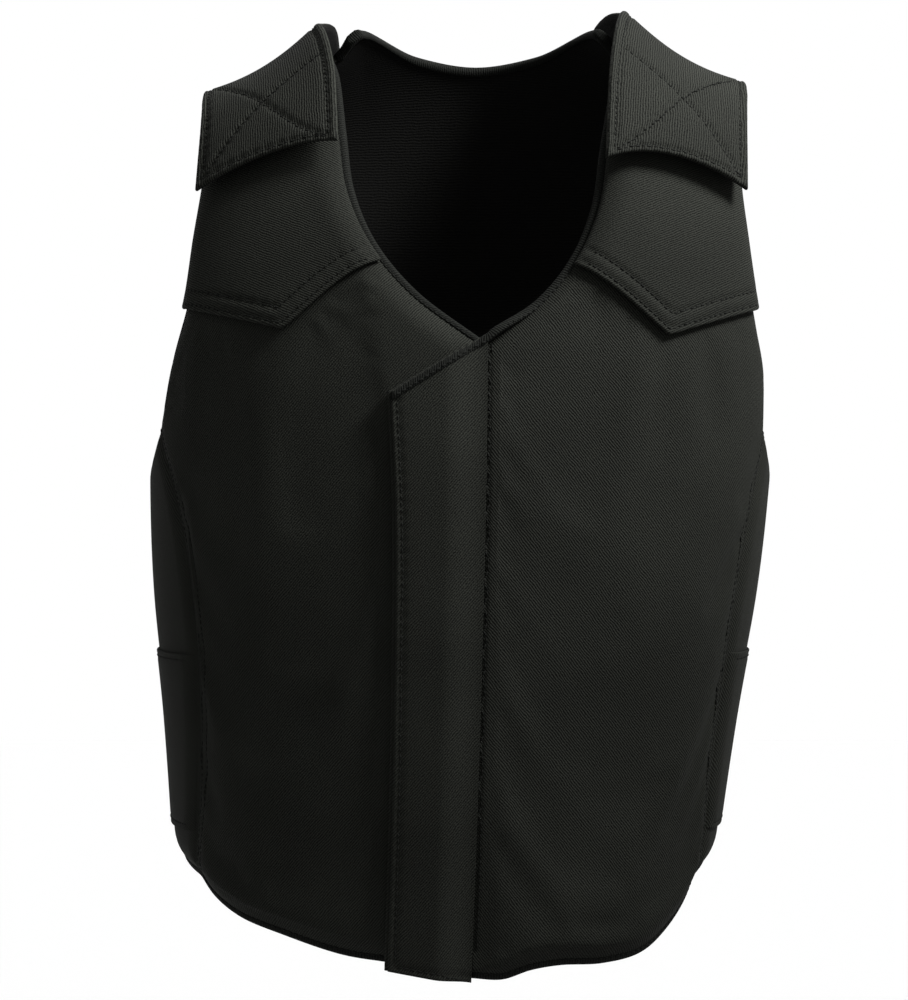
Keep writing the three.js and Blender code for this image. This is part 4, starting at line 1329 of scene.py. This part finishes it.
class VEST_OT_yokes(bpy.types.Operator):
    """Makes the pointed chest yokes"""
    bl_idname = "vest.yokes"
    bl_label = "Chest Yokes"

    def execute(self, context):
        cloth = vest_materials(context.scene.vest_colours)
        for side, name in SIDE_NAMES.items():
            panel, patch = front_patch(side), yoke_patch(side)
            bound = [panel.edge("left", NECK_SHARE), panel.edge("right", NECK_SHARE)]

            def under(s, t, patch=patch, bound=bound):
                x, k = patch.spot(s, t)
                return YOKE["clear"] - rim_dip(FRONT.lift(x, k, np.zeros_like(x)), level(k, "pad"), bound)

            made = [cloth[f"yoke_{name}"], cloth["lining"]]
            piece = soft_plate(
                f"yoke_{name}_sewn", patch.on, MESHED_AS["yoke"], ALL_EDGES, YOKE["thick"], yoke_rows(side),
                under, made, partial(weave_on, patch),
            )
            dress(piece, f"yoke_{name}", "panel_twill")
            resting = [PANELS[f"front_panel_{name}"]]
            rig.sheet(piece, **flat_cut(patch), held="stretched", rests_on=resting)
        return {"FINISHED"}


class VEST_OT_shoulder_straps(bpy.types.Operator):
    """Makes the broad ribbed straps over the shoulders"""
    bl_idname = "vest.shoulder_straps"
    bl_label = "Shoulder Straps"

    def execute(self, context):
        cloth = vest_materials(context.scene.vest_colours)
        made = [cloth["ribbed"], cloth["lining"]]

        def level_with_strap(s, u):
            return np.zeros_like(s)

        for side, name in SIDE_NAMES.items():
            on = strap_on(side)
            piece = soft_plate(
                f"shoulder_strap_{name}_ribbed", on, MESHED_AS["strap"], ALL_EDGES, STRAP["thick"],
                strap_rows(side), level_with_strap, made, lambda s, u, on=on: weave_along(on(s, u)),
            )
            dress(piece, f"shoulder_strap_{name}", "strap_rib")
            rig.padded(piece, fill=STRAP_FILL)
        return {"FINISHED"}


class VEST_OT_side_tabs(bpy.types.Operator):
    """Makes the fastening tabs at the sides"""
    bl_idname = "vest.side_tabs"
    bl_label = "Side Tabs"

    def execute(self, context):
        cloth = vest_materials(context.scene.vest_colours)
        for side, name in SIDE_NAMES.items():
            patch, made = tab_patch(side), [cloth[f"twill_{name}"], cloth["lining"]]
            piece = soft_plate(
                f"side_tab_{name}_sewn", patch.on, MESHED_AS["tab"], ALL_EDGES, TAB["thick"], tab_rows(side),
                tab_under, made, partial(weave_on, patch),
            )
            dress(piece, f"side_tab_{name}", "strap_rib")
            resting = [PANELS[f"side_panel_{name}"]]
            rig.sheet(piece, **flat_cut(patch), held="stretched", rests_on=resting)
        return {"FINISHED"}


class VEST_OT_bindings(bpy.types.Operator):
    """Makes the tape folded round the neck, armholes and hem"""
    bl_idname = "vest.bindings"
    bl_label = "Edge Bindings"

    def execute(self, context):
        cloth = vest_materials(context.scene.vest_colours)
        back = back_patch()
        fronts, sides = ({side: patch(side) for side in SIDE_NAMES} for patch in (front_patch, side_patch))
        # Places of the cross-sections, as shares of the edge that the tape covers.
        upper, back_neck = np.linspace(NECK_SHARE, 1, 90), np.linspace(BACK_SHOULDER, 1 - BACK_SHOULDER, 90)
        flap_top, armpit = np.linspace(0, 0.97, 60), np.linspace(0.02, 0.98, 40)
        front_hem, back_hem = np.linspace(0.003, 1, 90), np.linspace(0, 1, 90)
        side_hem = np.linspace(0.03, 0.97, 40)

        def bind(node, *stretches):
            stations = np.concatenate(stretches)
            dress(tube(f"{node}_folded", stations, [cloth["tape"]]), node, "edge_tape")

        for side, name in SIDE_NAMES.items():
            neck = [binding_stations(fronts[side], "left", upper, panel_layer if side < 0 else left_layer)]
            if side > 0:
                neck = [binding_stations(flap_patch(), "top", flap_top, flap_layer), neck[0][1:]]
            bind(f"neck_binding_{name}", *neck)
            bind(
                f"armhole_binding_{name}",
                binding_stations(fronts[side], "right", upper[::-1]),
                binding_stations(sides[side], "top", armpit),
                binding_stations(back, "left" if side < 0 else "right", upper),
            )
        bind("neck_binding_back", binding_stations(back, "top", back_neck))
        bind(
            "hem_binding",
            binding_stations(fronts[-1], "bottom", front_hem),
            binding_stations(sides[-1], "bottom", side_hem),
            binding_stations(back, "bottom", back_hem),
            binding_stations(sides[1], "bottom", side_hem[::-1]),
            binding_stations(fronts[1], "bottom", front_hem[::-1]),
        )
        return {"FINISHED"}


class VEST_OT_stitching(bpy.types.Operator):
    """Sews the rows of stitches on every piece"""
    bl_idname = "vest.stitching"
    bl_label = "Stitching"

    def execute(self, context):
        sizes, thread = context.scene.vest_sizes, vest_materials(context.scene.vest_colours)["thread"]
        back, edge = back_patch(), BINDING["stitch"]

        def sew(piece, rows):
            stitch_rows(f"{piece}_stitching", rows, surface_of(piece), sizes, thread)

        for side, name in SIDE_NAMES.items():
            panel = front_patch(side)
            sew(PANELS[f"front_panel_{name}"], front_rows(side))
            sew(f"yoke_{name}_sewn", yoke_rows(side, YOKE["thick"] + ROW_CLEAR))
            sew(f"shoulder_strap_{name}_ribbed", strap_rows(side, STRAP["thick"] + STRAP_ROW_CLEAR))
            sew(f"side_tab_{name}_sewn", tab_rows(side, TAB["thick"] + STRAP_ROW_CLEAR))
            rows = [inset_line(panel, "left", edge, "neck")]
            if side > 0:
                rows.append(inset_line(flap_patch(), "top", edge, "flap_top", FLAP["thick"] + ROW_CLEAR))
            sew(f"neck_binding_{name}_folded", rows)
            sew(f"armhole_binding_{name}_folded", [
                inset_line(panel, "right", edge, "armhole"),
                inset_line(back, "left" if side < 0 else "right", edge, "armhole"),
                inset_line(side_patch(side), "top", edge, "armpit"),
            ])
        sew("front_flap_folded", flap_rows(FLAP["thick"] + ROW_CLEAR))
        sew(PANELS["back_panel"], back_rows())
        sew("neck_binding_back_folded", [inset_line(back, "top", edge, "back_neck")])
        rows = [inset_line(front_patch(side), "bottom", edge, "hem") for side in SIDE_NAMES]
        rows += [inset_line(side_patch(side), "bottom", edge, "side_hem") for side in SIDE_NAMES]
        sew("hem_binding_folded", rows + [inset_line(back, "bottom", edge, "hem")])
        return {"FINISHED"}


# The stage, in metres and watts.
FLOOR_HALF = 6.0
KEY_LIGHT = {"place": (0.9, -0.45, 0.85), "target": (0.05, -0.05, 0.03), "size": 0.5, "power": 10.5}
KEY_SPREAD = np.radians(42)
CAMERA = {"x": -0.0124, "z": -0.24, "sensor_mm": 36}


class VEST_OT_stage(bpy.types.Operator):
    """Sets the floor, the soft studio light and the camera"""
    bl_idname = "vest.stage"
    bl_label = "Studio Stage"

    def execute(self, context):
        scene, sizes = context.scene, context.scene.vest_sizes
        corners = [(x * FLOOR_HALF, y * FLOOR_HALF) for x, y in ((-1, -1), (1, -1), (1, 1), (-1, 1))]
        mesh = bpy.data.meshes.new("studio_floor")
        mesh.from_pydata([(x, y, sizes.floor_drop) for x, y in corners], [], [(0, 1, 2, 3)])
        # Painted board, rolled: flat and pale, with no grain to see from here.
        paint = bpy.data.materials.new("matt white paint, rolled")
        paint.use_nodes = True
        shader = paint.node_tree.nodes["Principled BSDF"]
        shader.inputs["Base Color"].default_value = linear(hex_of(scene.vest_colours.floor))
        shader.inputs["Roughness"].default_value = 0.9
        mesh.materials.append(paint)
        floor = bpy.data.objects.new("studio_floor", mesh)
        scene.collection.objects.link(floor)
        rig.stage(floor)

        world = bpy.data.worlds.new("white studio")
        world.use_nodes = True
        backdrop = world.node_tree.nodes["Background"]
        backdrop.inputs["Color"].default_value = (1, 1, 1, 1)
        backdrop.inputs["Strength"].default_value = 1.0
        scene.world = world
        light = bpy.data.lights.new("key_light", "AREA")
        light.size, light.energy, light.spread = KEY_LIGHT["size"], KEY_LIGHT["power"], KEY_SPREAD
        lamp = bpy.data.objects.new("key_light", light)
        lamp.location = KEY_LIGHT["place"]
        aim = Vector(KEY_LIGHT["target"]) - Vector(KEY_LIGHT["place"])
        lamp.rotation_euler = aim.to_track_quat("-Z", "Y").to_euler()
        scene.collection.objects.link(lamp)

        lens = bpy.data.cameras.new("photo_camera")
        lens.lens, lens.sensor_width = sizes.lens, CAMERA["sensor_mm"]
        camera = bpy.data.objects.new("photo_camera", lens)
        camera.location = (CAMERA["x"], -sizes.camera_distance, CAMERA["z"])
        camera.rotation_euler = (np.pi / 2, 0, 0)
        scene.collection.objects.link(camera)
        scene.camera = camera
        scene.view_settings.view_transform = "Standard"
        return {"FINISHED"}


class VEST_PT_tools(bpy.types.Panel):
    """Steps for making the vest, in order"""
    bl_label = "Riding Vest"
    bl_idname = "VEST_PT_tools"
    bl_space_type = "VIEW_3D"
    bl_region_type = "UI"
    bl_category = "Vest"

    def draw(self, context):
        for operator in OPERATORS:
            self.layout.operator(operator.bl_idname)
        for group in (context.scene.vest_sizes, context.scene.vest_colours):
            for name in group.bl_rna.properties.keys():
                if name not in ("rna_type", "name"):
                    self.layout.prop(group, name)


OPERATORS = (
    VEST_OT_padded_panels, VEST_OT_front_flap, VEST_OT_yokes, VEST_OT_shoulder_straps, VEST_OT_side_tabs,
    VEST_OT_bindings, VEST_OT_stitching, VEST_OT_stage,
)
CLASSES = (VestSizes, VestColours, *OPERATORS, VEST_PT_tools)


def register():
    for made in CLASSES:
        bpy.utils.register_class(made)
    bpy.types.Scene.vest_sizes = PointerProperty(type=VestSizes)
    bpy.types.Scene.vest_colours = PointerProperty(type=VestColours)


def unregister():
    del bpy.types.Scene.vest_colours, bpy.types.Scene.vest_sizes
    for made in reversed(CLASSES):
        bpy.utils.unregister_class(made)


def main():
    register()
    bpy.ops.vest.padded_panels()
    bpy.ops.vest.front_flap()
    bpy.ops.vest.yokes()
    bpy.ops.vest.shoulder_straps()
    bpy.ops.vest.side_tabs()
    bpy.ops.vest.bindings()
    bpy.ops.vest.stitching()
    bpy.ops.vest.stage()
    visual = [list(corner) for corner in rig.bounds()]
    with open("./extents.json", "w") as file:
        json.dump({"cad": CAD_BOX, "visual": visual}, file)


if __name__ == "__main__":
    main()
